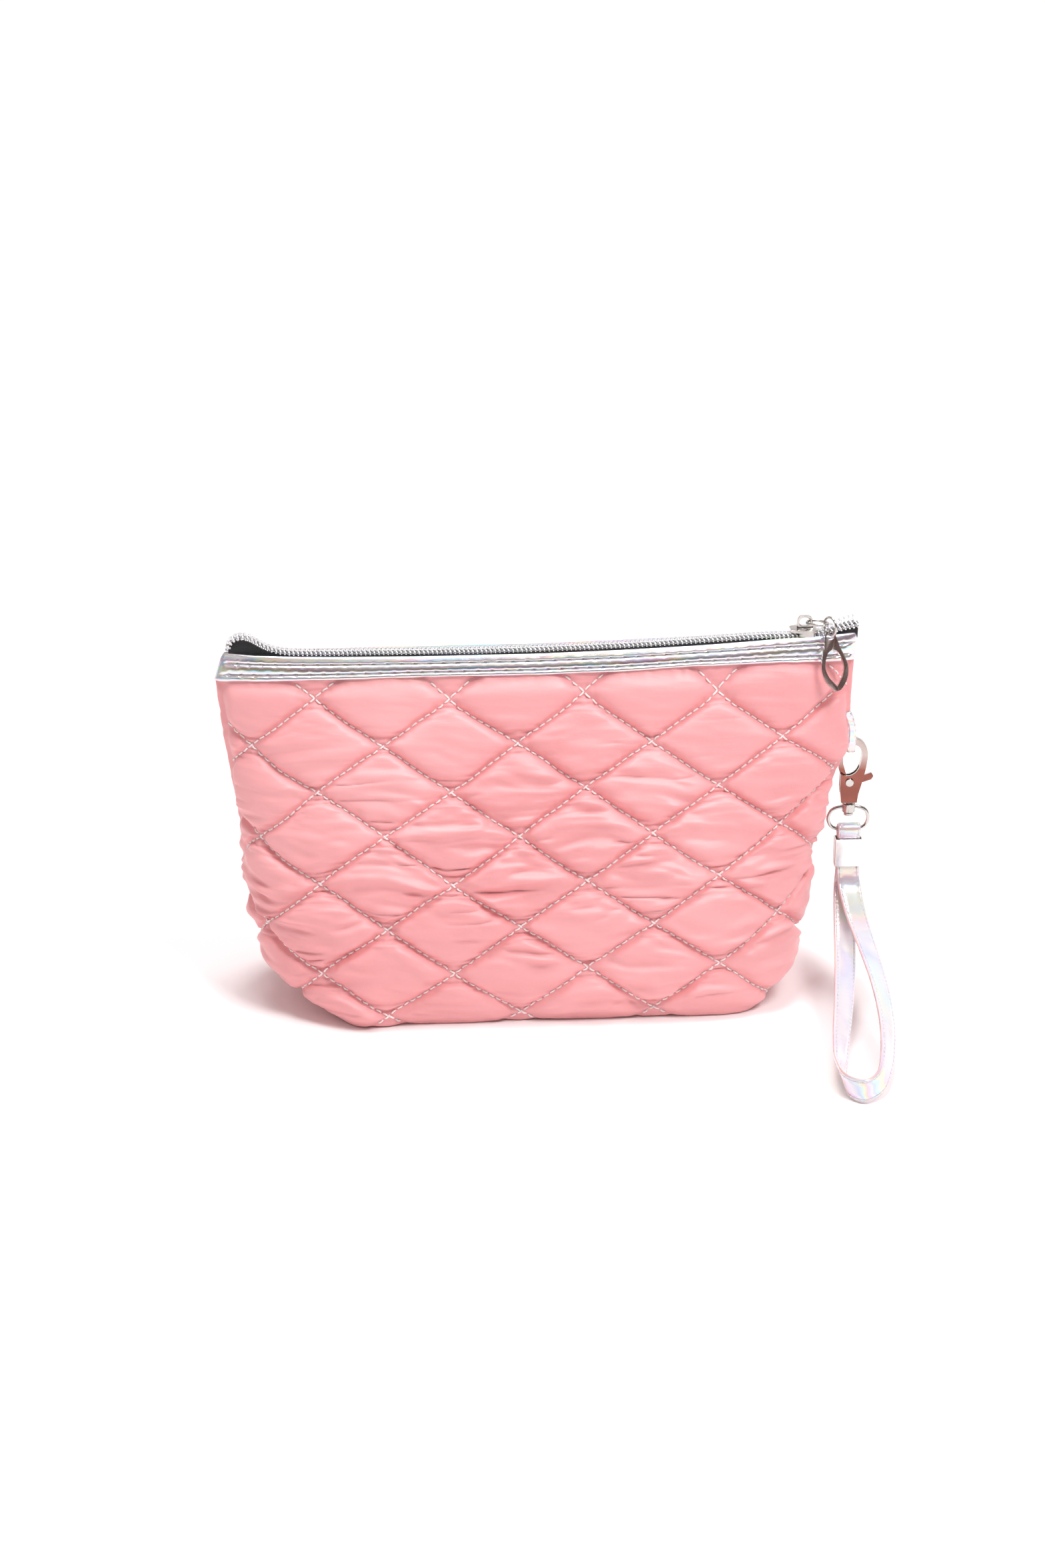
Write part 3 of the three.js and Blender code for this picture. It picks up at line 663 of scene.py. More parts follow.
def nickel_material(name, low, high, face=None, axis="Y", reach=None):
    """Bright nickel. A face colour paints a reflection of the pink bag, with shade, onto the flats that
    lie across one axis, and this painted reflection fades between two heights in millimetres."""
    paint = Paint(name, Metallic=1.0, Roughness=0.15)
    tone = paint.mottle(90.0, low, high)
    if face:
        # Painted reflection and painted shade: flats that face along the axis take the face colour.
        facing = paint.math("ABSOLUTE", paint.axes(paint.normal)[axis], 0.0)
        share = paint.ramp(facing, [(0.8, (0, 0, 0)), (0.95, (1, 1, 1))])
        if reach:
            height = paint.axes(paint.place)["Z"]
            fade = paint.remap(height, reach[0] * MM, reach[1] * MM, 1, 0.25)
            share = paint.math("MULTIPLY", share, fade)
        lighter = tuple(1.6 * v for v in face)
        drift = paint.ramp(paint.noise(60.0, 2.0), [(0.35, face), (0.75, lighter)])
        tone = paint.mix(share, tone, drift)
    paint.colour(tone)
    paint.rough(paint.noise(400.0, 4.0), 0.10, 0.24)
    scratches = paint.noise(1500.0, 2.0, (0.15, 1.0, 1.0))
    paint.bump(scratches, 0.00002, 0.25)
    return paint.material


def coil_material():
    paint = Paint("silvered_coil", Metallic=0.85, Roughness=0.22)
    paint.colour(paint.mottle(260.0, (0.84, 0.83, 0.85), (0.96, 0.96, 0.97)))
    paint.rough(paint.noise(500.0), 0.16, 0.3)
    paint.bump(paint.noise(1400.0, 2.0), 0.00003, 0.3)
    return paint.material


def woven_black(name, pitch, tone):
    paint = Paint(name, Roughness=0.8, Sheen_Weight=0.25)
    weave = paint.math("MULTIPLY", paint.wave(pitch, 0.4, "X"), paint.wave(pitch * 0.8, 0.4, "Z"))
    dark = tuple(v * 0.5 for v in tone)
    paint.colour(paint.ramp(weave, [(0.1, dark), (0.8, tone)]))
    paint.rough(paint.noise(300.0), 0.7, 0.88)
    paint.bump(weave, 0.00015, 0.7)
    return paint.material


def paper_white():
    """Pale paper that glows a little, more so away from the bag."""
    paint = Paint(
        "studio_floor", Roughness=0.85, Specular_IOR_Level=0.1, Emission_Color=(1.0, 0.985, 0.985, 1))
    paint.colour(paint.mottle(1.2, (0.93, 0.905, 0.905), (0.95, 0.93, 0.93)))
    away = paint.add("ShaderNodeVectorMath", _0=paint.place)
    away.operation = "LENGTH"
    glow = paint.remap(away.outputs["Value"], 0.15, 1.6, 0.0, 0.4)
    paint.connect(glow, paint.shader.inputs["Emission Strength"])
    return paint.material


def edge_paint():
    paint = Paint("rose_edge_paint", Roughness=0.35)
    paint.colour(paint.mottle(180.0, (0.62, 0.36, 0.36), (0.78, 0.52, 0.50)))
    paint.rough(paint.noise(300.0), 0.28, 0.45)
    paint.bump(paint.noise(600.0), 0.00008, 0.4)
    return paint.material


NYLON = nylon_material()
THREAD = thread_material("pale_thread", (0.97, 0.90, 0.89), (1.0, 0.98, 0.97), 0.6, 0.3)
GREY_THREAD = thread_material("grey_thread", (0.42, 0.41, 0.44), (0.62, 0.61, 0.64))
STRAP_THREAD = thread_material("lilac_thread", (0.62, 0.56, 0.62), (0.8, 0.74, 0.78))
EDGE_PAINT = edge_paint()
# The trim film's silver is tinted pink, a painted reflection of the pink bag.
FOIL = holographic_material(
    "holographic_trim_film", stretch=(0.14, 1.0, 2.6), patch=150.0, cycles=2.4, strength=0.9,
    silver=((0.66, 0.62, 0.63), (0.88, 0.82, 0.83)),
    Metallic=0.85, Coat_Weight=0.5, Coat_Roughness=0.08)
PEARL = holographic_material(
    "holographic_strap_film", stretch=(1.0, 1.0, 1.0), patch=20.0, cycles=3.2, strength=0.7,
    silver=((0.78, 0.73, 0.76), (0.86, 0.80, 0.82)),
    Metallic=0.35, Coat_Weight=0.6, Coat_Roughness=0.1)
NICKEL = nickel_material("nickel", (0.46, 0.43, 0.41), (0.68, 0.65, 0.63))
# Nickel for the pull tab: its front and back flats carry a pale warm painted reflection.
PULL_NICKEL_PAINTED_REFLECTION = nickel_material(
    "pull_nickel_painted_reflection", (0.82, 0.79, 0.77), (0.94, 0.92, 0.90), face=(0.72, 0.60, 0.57))
# Nickel for the clasp: its front and back flats carry a dark rose painted reflection of the pink bag,
# with painted shade, strongest below 85 mm.
CLASP_NICKEL_PAINTED_REFLECTION = nickel_material(
    "clasp_nickel_painted_reflection", (0.50, 0.45, 0.42), (0.70, 0.65, 0.62), face=(0.25, 0.09, 0.07), reach=(85, 91))
# Nickel for the strap clamp: its side flats carry a dark rose painted reflection of the pink bag, with
# painted shade.
CLAMP_NICKEL_PAINTED_REFLECTION = nickel_material(
    "clamp_nickel_painted_reflection", (0.82, 0.79, 0.78), (0.93, 0.91, 0.90), face=(0.24, 0.10, 0.09), axis="X")
COIL = coil_material()
TAPE = woven_black("black_zip_tape", 900.0, (0.022, 0.022, 0.026))
LINING = woven_black("black_lining", 420.0, (0.03, 0.03, 0.034))

# ---- camera, stage and lights ------------------------------------------------------
CAMERA_AT = (-78.2, -1117.0, 515.1)
CAMERA_LOOK = (0.0604, 0.9308, -0.3605)
CAMERA_LENS = 72.43


def make_camera():
    data = bpy.data.cameras.new("camera")
    data.lens, data.sensor_width = CAMERA_LENS, 36
    camera = bpy.data.objects.new("camera", data)
    camera.location = Vector(CAMERA_AT) * MM
    camera.rotation_mode = "QUATERNION"
    camera.rotation_quaternion = Vector(CAMERA_LOOK).to_track_quat("-Z", "Y")
    bpy.context.scene.collection.objects.link(camera)
    bpy.context.scene.camera = camera


# The floor's front edge, where it starts to curve up behind, its curve, height and half width.
FLOOR_FRONT, SWEEP_START, SWEEP_RADIUS, SWEEP_TOP, FLOOR_HALF = -4000, 1500, 1500, 5000, 5000


def make_floor():
    """A pale sweep: flat under the bag, curving up far behind it."""
    profile = [(FLOOR_FRONT, 0), (SWEEP_START, 0)]
    for turn in np.radians(np.linspace(0, 90, 13)[1:]):
        y = SWEEP_START + SWEEP_RADIUS * math.sin(turn)
        profile.append((y, SWEEP_RADIUS - SWEEP_RADIUS * math.cos(turn)))
    profile.append((SWEEP_START + SWEEP_RADIUS, SWEEP_TOP))
    xs = np.linspace(-FLOOR_HALF, FLOOR_HALF, 9)
    points = np.array([[[x, y, z] for x in xs] for y, z in profile])
    floor = grid_object("studio_floor", points)
    floor.data.materials.append(paper_white())


# Each lamp's name, place, size in metres and power in watts. All aim at one point.
LAMPS = (
    ("key", (620, -700, 1400), (0.5, 0.5), 14),
    ("fill", (-1300, -1100, 900), (1.0, 1.0), 1.2),
    ("top", (-50, 40, 1500), (0.8, 0.5), 14),
)
LAMP_TARGET = (0, 0, 60)
WORLD_STRENGTH = 0.48
UNDER_LIGHT, SKY_LIGHT = (0.62, 0.59, 0.59), (1.0, 0.985, 0.98)
ROOM_DARK, BACKDROP = (0.20, 0.13, 0.12), (2.0, 1.98, 1.98)
BLACK, WHITE = (0, 0, 0), (1, 1, 1)


def make_lamp(name, at, size, power):
    data = bpy.data.lights.new(name, "AREA")
    data.shape, data.size, data.size_y = "RECTANGLE", size[0], size[1]
    data.energy = power
    lamp = bpy.data.objects.new(name, data)
    lamp.location = Vector(at) * MM
    lamp.rotation_mode = "QUATERNION"
    lamp.rotation_quaternion = (Vector(LAMP_TARGET) - Vector(at)).to_track_quat("-Z", "Y")
    bpy.context.scene.collection.objects.link(lamp)


def make_world():
    """Soft light, stronger from above, so that the gathers of the cloth show. The room in front of
    the bag is darker and warm, which gives the metal and the film something to mirror. Behind the
    bag the camera sees a plain pale backdrop."""
    world = bpy.data.worlds.new("studio")
    world.use_nodes = True
    sky = Shades(world.node_tree)
    way = sky.axes(sky.scaled(sky.coordinates["Generated"], (1, -1, 1)))
    light = sky.ramp(way["Z"], [(0.0, UNDER_LIGHT), (0.75, SKY_LIGHT)])
    ahead = sky.ramp(way["Y"], [(0.40, BLACK), (0.75, WHITE)])
    low = sky.ramp(way["Z"], [(0.0, WHITE), (0.38, WHITE), (0.62, BLACK)])
    mirrored = sky.mix(sky.math("MULTIPLY", ahead, low), light, ROOM_DARK)
    seen = sky.add("ShaderNodeLightPath").outputs["Is Camera Ray"]
    background = world.node_tree.nodes["Background"]
    sky.connect(sky.mix(seen, mirrored, BACKDROP), background.inputs["Color"])
    background.inputs["Strength"].default_value = WORLD_STRENGTH
    bpy.context.scene.world = world


make_camera()
make_floor()
make_world()
for lamp in LAMPS:
    make_lamp(*lamp)
bpy.context.scene.view_settings.view_transform = "Standard"

# ---- quilted walls -------------------------------------------------------------------
MOVES = simulate_quilting()
# The back's quilting is this far along from the front's.
BACK_SHIFT = 9.0


def bend_half(piece):
    """Bakes a back piece's place into its points, leaving its shape as it is."""
    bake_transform(piece)


def halves(columns_x):
    """The name, side and columns of the left and right half of a back grid."""
    middle = int(np.argmin(abs(columns_x)))
    return (("left", True, slice(0, middle + 1)), ("right", False, slice(middle, None)))


def everywhere(x):
    return True


def add_quilts():
    front = Quilt(MOVES, -1, 0.0)
    piece = dress(front.cloth("front_quilt"), NYLON)
    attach(piece, "bag")
    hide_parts("front_panel", "front_wadding")
    paths = seam_stitches(front, everywhere)
    stitches = many_tubes("front_quilt_thread", paths, THREAD_RADIUS, THREAD_SIDES)
    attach(dress(stitches, THREAD), "bag")
    back = Quilt(MOVES, 1, BACK_SHIFT)
    for name, left, columns in halves(back.points[90, :, 0]):
        piece = dress(back.cloth(f"back_quilt_{name}", columns), NYLON)
        bend_half(piece)
        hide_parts("back_panel", "back_wadding")
        paths = seam_stitches(back, lambda x: (x < 0) == left)
        stitches = many_tubes(f"back_quilt_thread_{name}", paths, THREAD_RADIUS, THREAD_SIDES)
        bend_half(dress(stitches, THREAD))


# The base: how far it lies inside the walls' foot, its height, how much of the quilting's swell it
# shows, and the part of the quilting that it takes.
BASE_INSET, BASE_HEIGHT, BASE_SWELL, BASE_PATTERN = 2.5, 1.7, 0.45, (5, 60)
LINING_INSET, LINING_FOOT, LINING_TOP = 3.5, 2.5, 136.6
BASE_LINING_INSET, BASE_LINING_HEIGHT = 4.6, 4.0


def base_grid(inset, rows, columns):
    """Points across the base from the front wall's foot to the back wall's, at height zero."""
    outline, _ = wall_rows([slope_at(WALL_FOOT)], np.linspace(-1, 1, columns), inset=inset)
    x, y, _ = outline[0].T
    share = np.linspace(-1, 1, rows)
    grid = np.stack([
        np.broadcast_to(x, (rows, columns)),
        share[:, None] * abs(y)[None, :],
        np.zeros((rows, columns))], axis=2)
    return grid, share


def add_base():
    """The quilted base, seen from below, and its lining."""
    grid, share = base_grid(BASE_INSET, 81, 181)
    xs, slopes, field = MOVES
    swell = sample_grid(
        field, xs, slopes, grid[..., 0] + BASE_PATTERN[0], grid[..., 1] + BASE_PATTERN[1])[..., 2]
    rim = smoothstep(0, 0.12, 1 - abs(share))[:, None]
    grid[..., 2] = np.maximum(BASE_HEIGHT - BASE_SWELL * swell * rim, FLOOR_GAP)
    piece = dress(grid_object("base_quilt", grid, flip=True), NYLON)
    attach(piece, "bag")
    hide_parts("base_panel", "base_wadding")
    grid, _ = base_grid(BASE_LINING_INSET, 51, 121)
    grid[..., 2] = BASE_LINING_HEIGHT + 0.35 * value_noise(grid[..., 0], grid[..., 1], 16, 41)
    piece = dress(grid_object("base_lining_cloth", grid), LINING)
    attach(piece, "bag")
    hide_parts("base_lining")


def add_linings():
    """Smooth cloth with slack folds, inside both walls."""
    fractions = np.sin(np.linspace(-1, 1, 161) * np.pi / 2)
    slopes = np.linspace(slope_at(LINING_FOOT), slope_at(LINING_TOP), 90)
    points, lengths = wall_rows(slopes, fractions, inset=LINING_INSET)
    normals = grid_normals(points)
    arc = lengths[:, None] * fractions[None, :]
    slack = smoothstep(0, 14, lengths[:, None] - abs(arc))
    folds = value_noise(arc, slopes[:, None] * 0.25 + 0 * arc, 13, 51)
    points = settle_rim(points + normals * ((0.5 * folds - 0.3) * slack)[..., None])
    piece = dress(grid_object("front_lining_cloth", points, flip=True), LINING)
    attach(piece, "bag")
    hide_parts("front_lining")
    back = points * [1, -1, 1]
    for name, left, columns in halves(back[60, :, 0]):
        piece = dress(grid_object(f"back_lining_cloth_{name}", back[:, columns]), LINING)
        bend_half(piece)
        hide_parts("back_lining")


# ---- trim bands -------------------------------------------------------------------------
BAND_STITCH_ROWS = (2.5, 7.0)
BAND_STITCH_PITCH = 5.2
# How far the stitches shift along the band for each millimetre up it.
BAND_ROW_SHIFT = 1.7
# Depth of a row's dimples, and how far a row's stitches stand out from its groove.
BAND_DIMPLE = 0.45
BAND_STITCH_LIFT = np.array([-0.25, 0.1, 0.2, 0.24, 0.2, 0.1, -0.25])
BAND_THREAD_RADIUS = 0.21
# Near the side seams the band lies flat at this distance from the wall.
BAND_FLAT = 0.75
# Band profile from the lining side of the lower edge to the lining side of the top: height, offset.
BAND_PROFILE = [
    (0.5, -1.2), (0.0, -0.5), (-0.15, 0.15), (0.1, 0.7), (0.6, 0.98), (1.2, 1.05), (1.85, 0.92),
    (2.25, 0.45), (2.5, 0.05), (2.75, 0.45), (3.1, 0.98), (3.9, 1.12), (4.8, 1.16), (5.7, 1.12),
    (6.4, 0.95), (6.75, 0.42), (7.0, 0.02), (7.25, 0.42), (7.6, 0.86), (8.4, 0.78), (9.3, 0.55),
    (10.0, 0.34), (10.5, 0.08), (10.72, -0.3), (10.7, -1.0), (10.5, -2.0), (10.1, -2.6), (9.1, -2.8),
]


def band_puff(arc, height, offsets, side):
    """How far each point of a band stands out: its profile, dimples and small crimps."""
    shown = (offsets > -0.1)[:, None]
    crimp = value_noise(arc, height * 0.6, 3.4, 61 + side) * 0.1
    crimp += value_noise(arc, height * 0.3, 11.0, 63 + side) * 0.22
    puff = offsets[:, None] + np.where(shown, crimp * 0.6, 0)
    for row in BAND_STITCH_ROWS:
        near = np.exp(-((height - row) / 0.75) ** 2)
        phase = np.mod(arc + BAND_ROW_SHIFT * row, BAND_STITCH_PITCH) / BAND_STITCH_PITCH
        puff = puff - BAND_DIMPLE * near * np.exp(-((phase - 0.5) / 0.13) ** 2)
    return puff, shown


def band_grid(side, columns=421):
    """A band's points, and how far along the band each one lies."""
    fractions = np.sin(np.linspace(-1, 1, columns) * np.pi / 2)
    fractions = 0.5 * fractions + 0.5 * np.linspace(-1, 1, columns)
    heights, offsets = np.array(BAND_PROFILE).T
    base, lengths = wall_rows(slope_at(np.clip(BAND_BOTTOM + heights, 0, BAND_TOP)), fractions)
    base[..., 2] = (BAND_BOTTOM + heights)[:, None]
    flat, _ = wall_rows([slope_at(BAND_BOTTOM + 2), slope_at(BAND_BOTTOM + 8)], fractions)
    outward = grid_normals(flat)[0]
    arc = lengths[:, None] * fractions[None, :] + BACK_SHIFT * (side > 0)
    height = np.broadcast_to(heights[:, None], arc.shape)
    puff, shown = band_puff(arc, height, offsets, side)
    to_side = lengths[:, None] - abs(lengths[:, None] * fractions[None, :])
    seam = (1 - smoothstep(1.5, 6, to_side)) * ((height > 0.5) & (height < 9) & (puff > -0.6))
    puff = puff * (1 - seam) + BAND_FLAT * seam
    puff = puff - 0.5 * (1 - smoothstep(0, 1.4, to_side)) * shown
    points = base + outward[None] * puff[..., None]
    rolled_in = (offsets < -0.9)[:, None]
    points[..., 1] = np.where(rolled_in, np.minimum(points[..., 1], -0.3), points[..., 1])
    points[..., 2] += np.where(height < 0.6, 0.16 * value_noise(arc, 0 * arc, 4.2, 67), 0)
    return settle_rim(points) * [1, -side, 1], arc


def band_stitches(side, keep):
    """Thread in the two sewn rows of a band."""
    points, arc = band_grid(side)
    heights = [height for height, _ in BAND_PROFILE]
    paths = []
    for row in BAND_STITCH_ROWS:
        at = heights.index(row)
        line = (points[at] + points[at + 1] + points[at - 1]) / 3
        place = arc[at] + BAND_ROW_SHIFT * row
        first = math.ceil(place[2] / BAND_STITCH_PITCH - 0.5) + 0.5
        for number in np.arange(first, place[-3] / BAND_STITCH_PITCH - 1, 1.0):
            spots = (number + np.linspace(0.05, 0.95, 7)) * BAND_STITCH_PITCH
            path = np.stack([np.interp(spots, place, line[:, k]) for k in range(3)], axis=1)
            path[:, 1] += side * BAND_STITCH_LIFT
            if keep(path[3, 0]):
                paths.append(path)
    return paths


def band_thread(name, side, keep):
    return many_tubes(name, band_stitches(side, keep), BAND_THREAD_RADIUS, THREAD_SIDES)


def add_bands():
    front, _ = band_grid(-1)
    piece = dress(grid_object("front_band", front), FOIL)
    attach(piece, "bag")
    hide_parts("front_trim")
    thread = band_thread("front_band_thread", -1, everywhere)
    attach(dress(thread, GREY_THREAD), "bag")
    back, _ = band_grid(1)
    for name, left, columns in halves(back[10, :, 0]):
        piece = grid_object(f"back_band_{name}", back[:, columns], flip=True)
        dress(piece, FOIL)
        bend_half(piece)
        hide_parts("back_trim")
        thread = band_thread(f"back_band_thread_{name}", 1, lambda x: (x < 0) == left)
        bend_half(dress(thread, GREY_THREAD))


# ---- zip --------------------------------------------------------------------------------
# The chain's middle line: x and height. It humps up at its closed end and rises at the other.
ZIP_PATH = np.array([
    [-115.4, 138.1], [-115.2, 140.0], [-114.2, 142.0], [-112.4, 143.3], [-110, 143.7],
    [-107.4, 143.0], [-104.5, 141.3], [-101.5, 139.6], [-98, 138.2], [-94, 137.4], [-88, 137.0],
    [-60, 136.6], [-15, 136.4], [35, 137.5], [68, 139.1], [84, 139.9], [101, 140.1], [107, 141.0],
    [112, 142.7], [116, 144.1], [120.6, 145.0],
])
# Near its open end the chain tips towards the front.
TIP_START, TIP_END, TIP_ANGLE = 104, 119, math.radians(32)
TOOTH_PITCH, TOOTH_RADIUS, TOOTH_SIDES = 1.67, 0.43, 7
# The chain's line has this many points for each tooth.
TOOTH_STEPS = 4
# How far a tooth leans along the zip for each millimetre across it.
TOOTH_LEAN = 0.42
# One tooth seen along the zip: distance from the middle, height.
TOOTH = [(2.75, -0.25), (2.85, 0.35), (2.3, 0.8), (1.2, 0.92), (0.1, 0.85), (-0.45, 0.4),
         (-0.35, -0.15), (0.5, -0.4), (1.8, -0.45)]
# The tape: how far inside the band it starts, how far below its top, its edge's distance from the
# chain's middle line, and how far it bows.
TAPE_INSET, TAPE_SUNK, TAPE_EDGE, TAPE_BOW = 2.6, 2.0, 2.3, 0.3


def between(one, two, start, end, at):
    """The first value at start, the second at end, and a straight blend at places between."""
    share = (at - start) / (end - start)
    return one * (1 - share) + two * share


def catmull(points, per_span):
    """A smooth curve through points, spaced by the square root of their distances."""
    points = np.asarray(points, float)
    points = np.vstack([2 * points[0] - points[1], points, 2 * points[-1] - points[-2]])
    curve = []
    for k in range(1, len(points) - 2):
        near = points[k - 1:k + 3]
        gaps = np.sqrt(np.linalg.norm(np.diff(near[:, :3], axis=0), axis=1))
        knots = np.concatenate([[0], np.cumsum(gaps)])
        for at in np.linspace(knots[1], knots[2], per_span, endpoint=False):
            level = near
            for width in (1, 2):
                level = [
                    between(level[i], level[i + 1], knots[i], knots[i + width], at)
                    for i in range(4 - width)]
            curve.append(between(level[0], level[1], knots[1], knots[2], at))
    curve.append(points[-2])
    return np.array(curve)


def even_steps(curve, step):
    """Points at even distances along a curve, with the distance of each."""
    gone = np.concatenate([[0], np.cumsum(np.linalg.norm(np.diff(curve[:, :3], axis=0), axis=1))])
    count = max(2, int(round(gone[-1] / step)) + 1)
    at = np.linspace(0, gone[-1], count)
    return np.stack([np.interp(at, gone, curve[:, k]) for k in range(curve.shape[1])], axis=1), at


def zip_line():
    path = np.stack([ZIP_PATH[:, 0], 0 * ZIP_PATH[:, 0], ZIP_PATH[:, 1]], axis=1)
    return even_steps(catmull(path, 16), TOOTH_PITCH / TOOTH_STEPS)[0]


def teeth(name, side, keep):
    """One object of a coil's teeth. The two coils are half a tooth apart, so they mesh."""
    line = zip_line()
    tangent = unit_rows(np.gradient(line, axis=0))
    paths = []
    first = TOOTH_STEPS // 2 if side > 0 else TOOTH_STEPS
    for k in range(first, len(line) - 3, TOOTH_STEPS):
        up = np.cross(tangent[k], [0.0, 1.0, 0.0])
        up = -up if up[2] < 0 else up
        lean = tangent[k] * TOOTH_LEAN
        tip = TIP_ANGLE * smoothstep(TIP_START, TIP_END, line[k, 0])
        out = np.array([0.0, side * math.cos(tip), 0.0]) + up * side * math.sin(tip)
        if keep(line[k, 0]):
            paths.append(catmull([line[k] + out * y + up * z + lean * (y - 1) for y, z in TOOTH], 2))
    return many_tubes(name, paths, TOOTH_RADIUS, TOOTH_SIDES)


def tape_grid(side):
    """Woven tape from inside the band's top up to the chain, with its edge turned under."""
    line = zip_line()
    share = np.linspace(0, 1, 9)[:, None]
    length, depth, _, flat, bulge = section(BAND_TOP)
    along = np.clip(abs(line[:, 0]) / length, 0, 1)
    foot_y = np.maximum(depth * (1 - along ** flat) ** (1 / bulge) - TAPE_INSET, 0.5)
    foot = np.stack([line[:, 0], foot_y, np.full(len(line), BAND_TOP)], axis=1)
    foot_z = settle_rim(foot)[:, 2] - TAPE_SUNK
    y = foot_y * (1 - share) + np.minimum(TAPE_EDGE, foot_y + 0.4) * share
    y += TAPE_BOW * np.sin(share * np.pi)
    z = foot_z * (1 - share) + (line[:, 2] - 0.15) * share
    x = np.broadcast_to(line[:, 0], y.shape)
    under = np.stack([x[-1], np.minimum(y[-1], 0.7), z[-1] - 0.2], axis=1)
    return np.concatenate([np.stack([x, y, z], axis=2), under[None]]) * [1, side, 1]


def add_zip():
    piece = dress(grid_object("front_zip_tape", tape_grid(-1)), TAPE)
    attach(piece, "bag")
    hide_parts("front_tape")
    piece = dress(teeth("front_zip_teeth", -1, everywhere), COIL)
    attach(piece, "bag")
    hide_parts("front_coil")
    back = tape_grid(1)
    for name, left, columns in halves(back[0, :, 0]):
        piece = grid_object(f"back_zip_tape_{name}", back[:, columns], flip=True)
        bend_half(dress(piece, TAPE))
        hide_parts("back_tape", f"back_tape_{name}_end")
        rows = teeth(f"back_zip_teeth_{name}", 1, lambda x: (x < 0) == left)
        bend_half(dress(rows, COIL))
        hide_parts("back_coil", f"back_coil_{name}_end")


# ---- straps -----------------------------------------------------------------------------
RIVET_X, HANG_Y = 119.8, 1.5
STRAP_X = RIVET_X + 0.7
STRAP_FRONT, STRAP_BACK, FOLD = HANG_Y - 0.95, HANG_Y + 0.95, 1.9
BAR_Z = 60.2
STRAP_HALF_WIDTH, STRAP_THICK = 4.4, 1.35
TAB_HALF_WIDTH, TAB_THICK = 1.6, 0.8
# The wrist strap's middle line: x from its hanging line, y, z, lean of its width in degrees.
STRAP_PATH = [
    (0, STRAP_FRONT, 50.5, 0), (0, STRAP_FRONT, 44.5, 0), (0.6, -1.5, 37.5, 4), (1.6, -12, 30.5, 12),
    (3.2, -34, 24.5, 24), (4.0, -57, 19.5, 36), (3.0, -79, 14, 48), (-0.2, -97, 9, 62),
    (-4.5, -108, 6, 78), (-10.5, -112.5, 5.2, 88), (-15.5, -108, 5.2, 78), (-16.6, -96, 6.2, 62),
    (-14.0, -79, 9.0, 48), (-9.6, -57, 14, 36), (-5.6, -34, 19.5, 24), (-2.2, -10, 26.5, 12),
    (-0.6, 1.4, 35, 4), (0, STRAP_BACK, 44.5, 0), (0, STRAP_BACK, 56, 0),
    (0, HANG_Y + FOLD, BAR_Z - 0.6, 0), (0, HANG_Y + FOLD * 0.75, BAR_Z + FOLD * 0.66, 0),
    (0, HANG_Y, BAR_Z + FOLD, 0), (0, HANG_Y - FOLD * 0.75, BAR_Z + FOLD * 0.66, 0),
    (0, HANG_Y - FOLD, BAR_Z - 0.6, 0), (0, STRAP_FRONT, 56, 0), (0, STRAP_FRONT, 51.2, 0),
]
# The side tab, folded through the clasp.
TAB_X, TAB_GAP, TAB_BEND, TAB_TOP = 119.9, 2.35, 94.2, 106
TAB_PATH = [
    (TAB_X - 2.4, -0.5, TAB_TOP + 3, 0), (TAB_X - 0.9, -0.5, TAB_TOP, 0),
    (TAB_X, -0.7, TAB_TOP - 4, 0),
    (TAB_X, HANG_Y - TAB_GAP, TAB_BEND + 4.5, 0), (TAB_X, HANG_Y - TAB_GAP, TAB_BEND + 1.6, 0),
    (TAB_X, HANG_Y - TAB_GAP * 0.7, TAB_BEND - TAB_GAP * 0.7 + 0.3, 0),
    (TAB_X, HANG_Y, TAB_BEND - TAB_GAP + 0.6, 0),
    (TAB_X, HANG_Y + TAB_GAP * 0.7, TAB_BEND - TAB_GAP * 0.7 + 0.3, 0),
    (TAB_X, HANG_Y + TAB_GAP, TAB_BEND + 1.6, 0), (TAB_X, HANG_Y + TAB_GAP, TAB_BEND + 4.5, 0),
    (TAB_X, 0.7, TAB_TOP - 4, 0), (TAB_X - 0.9, 0.5, TAB_TOP, 0), (TAB_X - 2.4, 0.5, TAB_TOP + 3, 0),
]
# Sewing along a strap: stitch pitch, place as a share of its half width, and thread.
STRAP_PITCH, SEW_LINE, STRAP_THREAD_RADIUS = 2.2, 0.77, 0.13
STRAP_STITCH_LIFT = np.array([-0.2, 0.0, 0.05, 0.0, -0.2])
# Pitch of the embossed scallops along a strap, and how they slant across it.
SCALLOP_PITCH, SCALLOP_SLANT = 2.4, 0.8
# Points across one face of a strap, as shares of its half width.
ACROSS = np.array([-1, -0.985, -0.94, -0.87, -0.8, -0.74, -0.62, -0.35, 0,
                   0.35, 0.62, 0.74, 0.8, 0.87, 0.94, 0.985, 1])


def strap_frames(path, step):
    """A strap's middle line, the directions of its width and face, and distances along it."""
    curve, gone = even_steps(catmull(path, 14), step)
    centre, lean = curve[:, :3], np.radians(curve[:, 3])
    tangent = unit_rows(np.gradient(centre, axis=0))
    wide = np.stack([-np.cos(lean), 0 * lean, np.sin(lean)], axis=1)
    wide = unit_rows(wide - tangent * (wide * tangent).sum(axis=1, keepdims=True))
    return centre, wide, np.cross(wide, tangent), gone


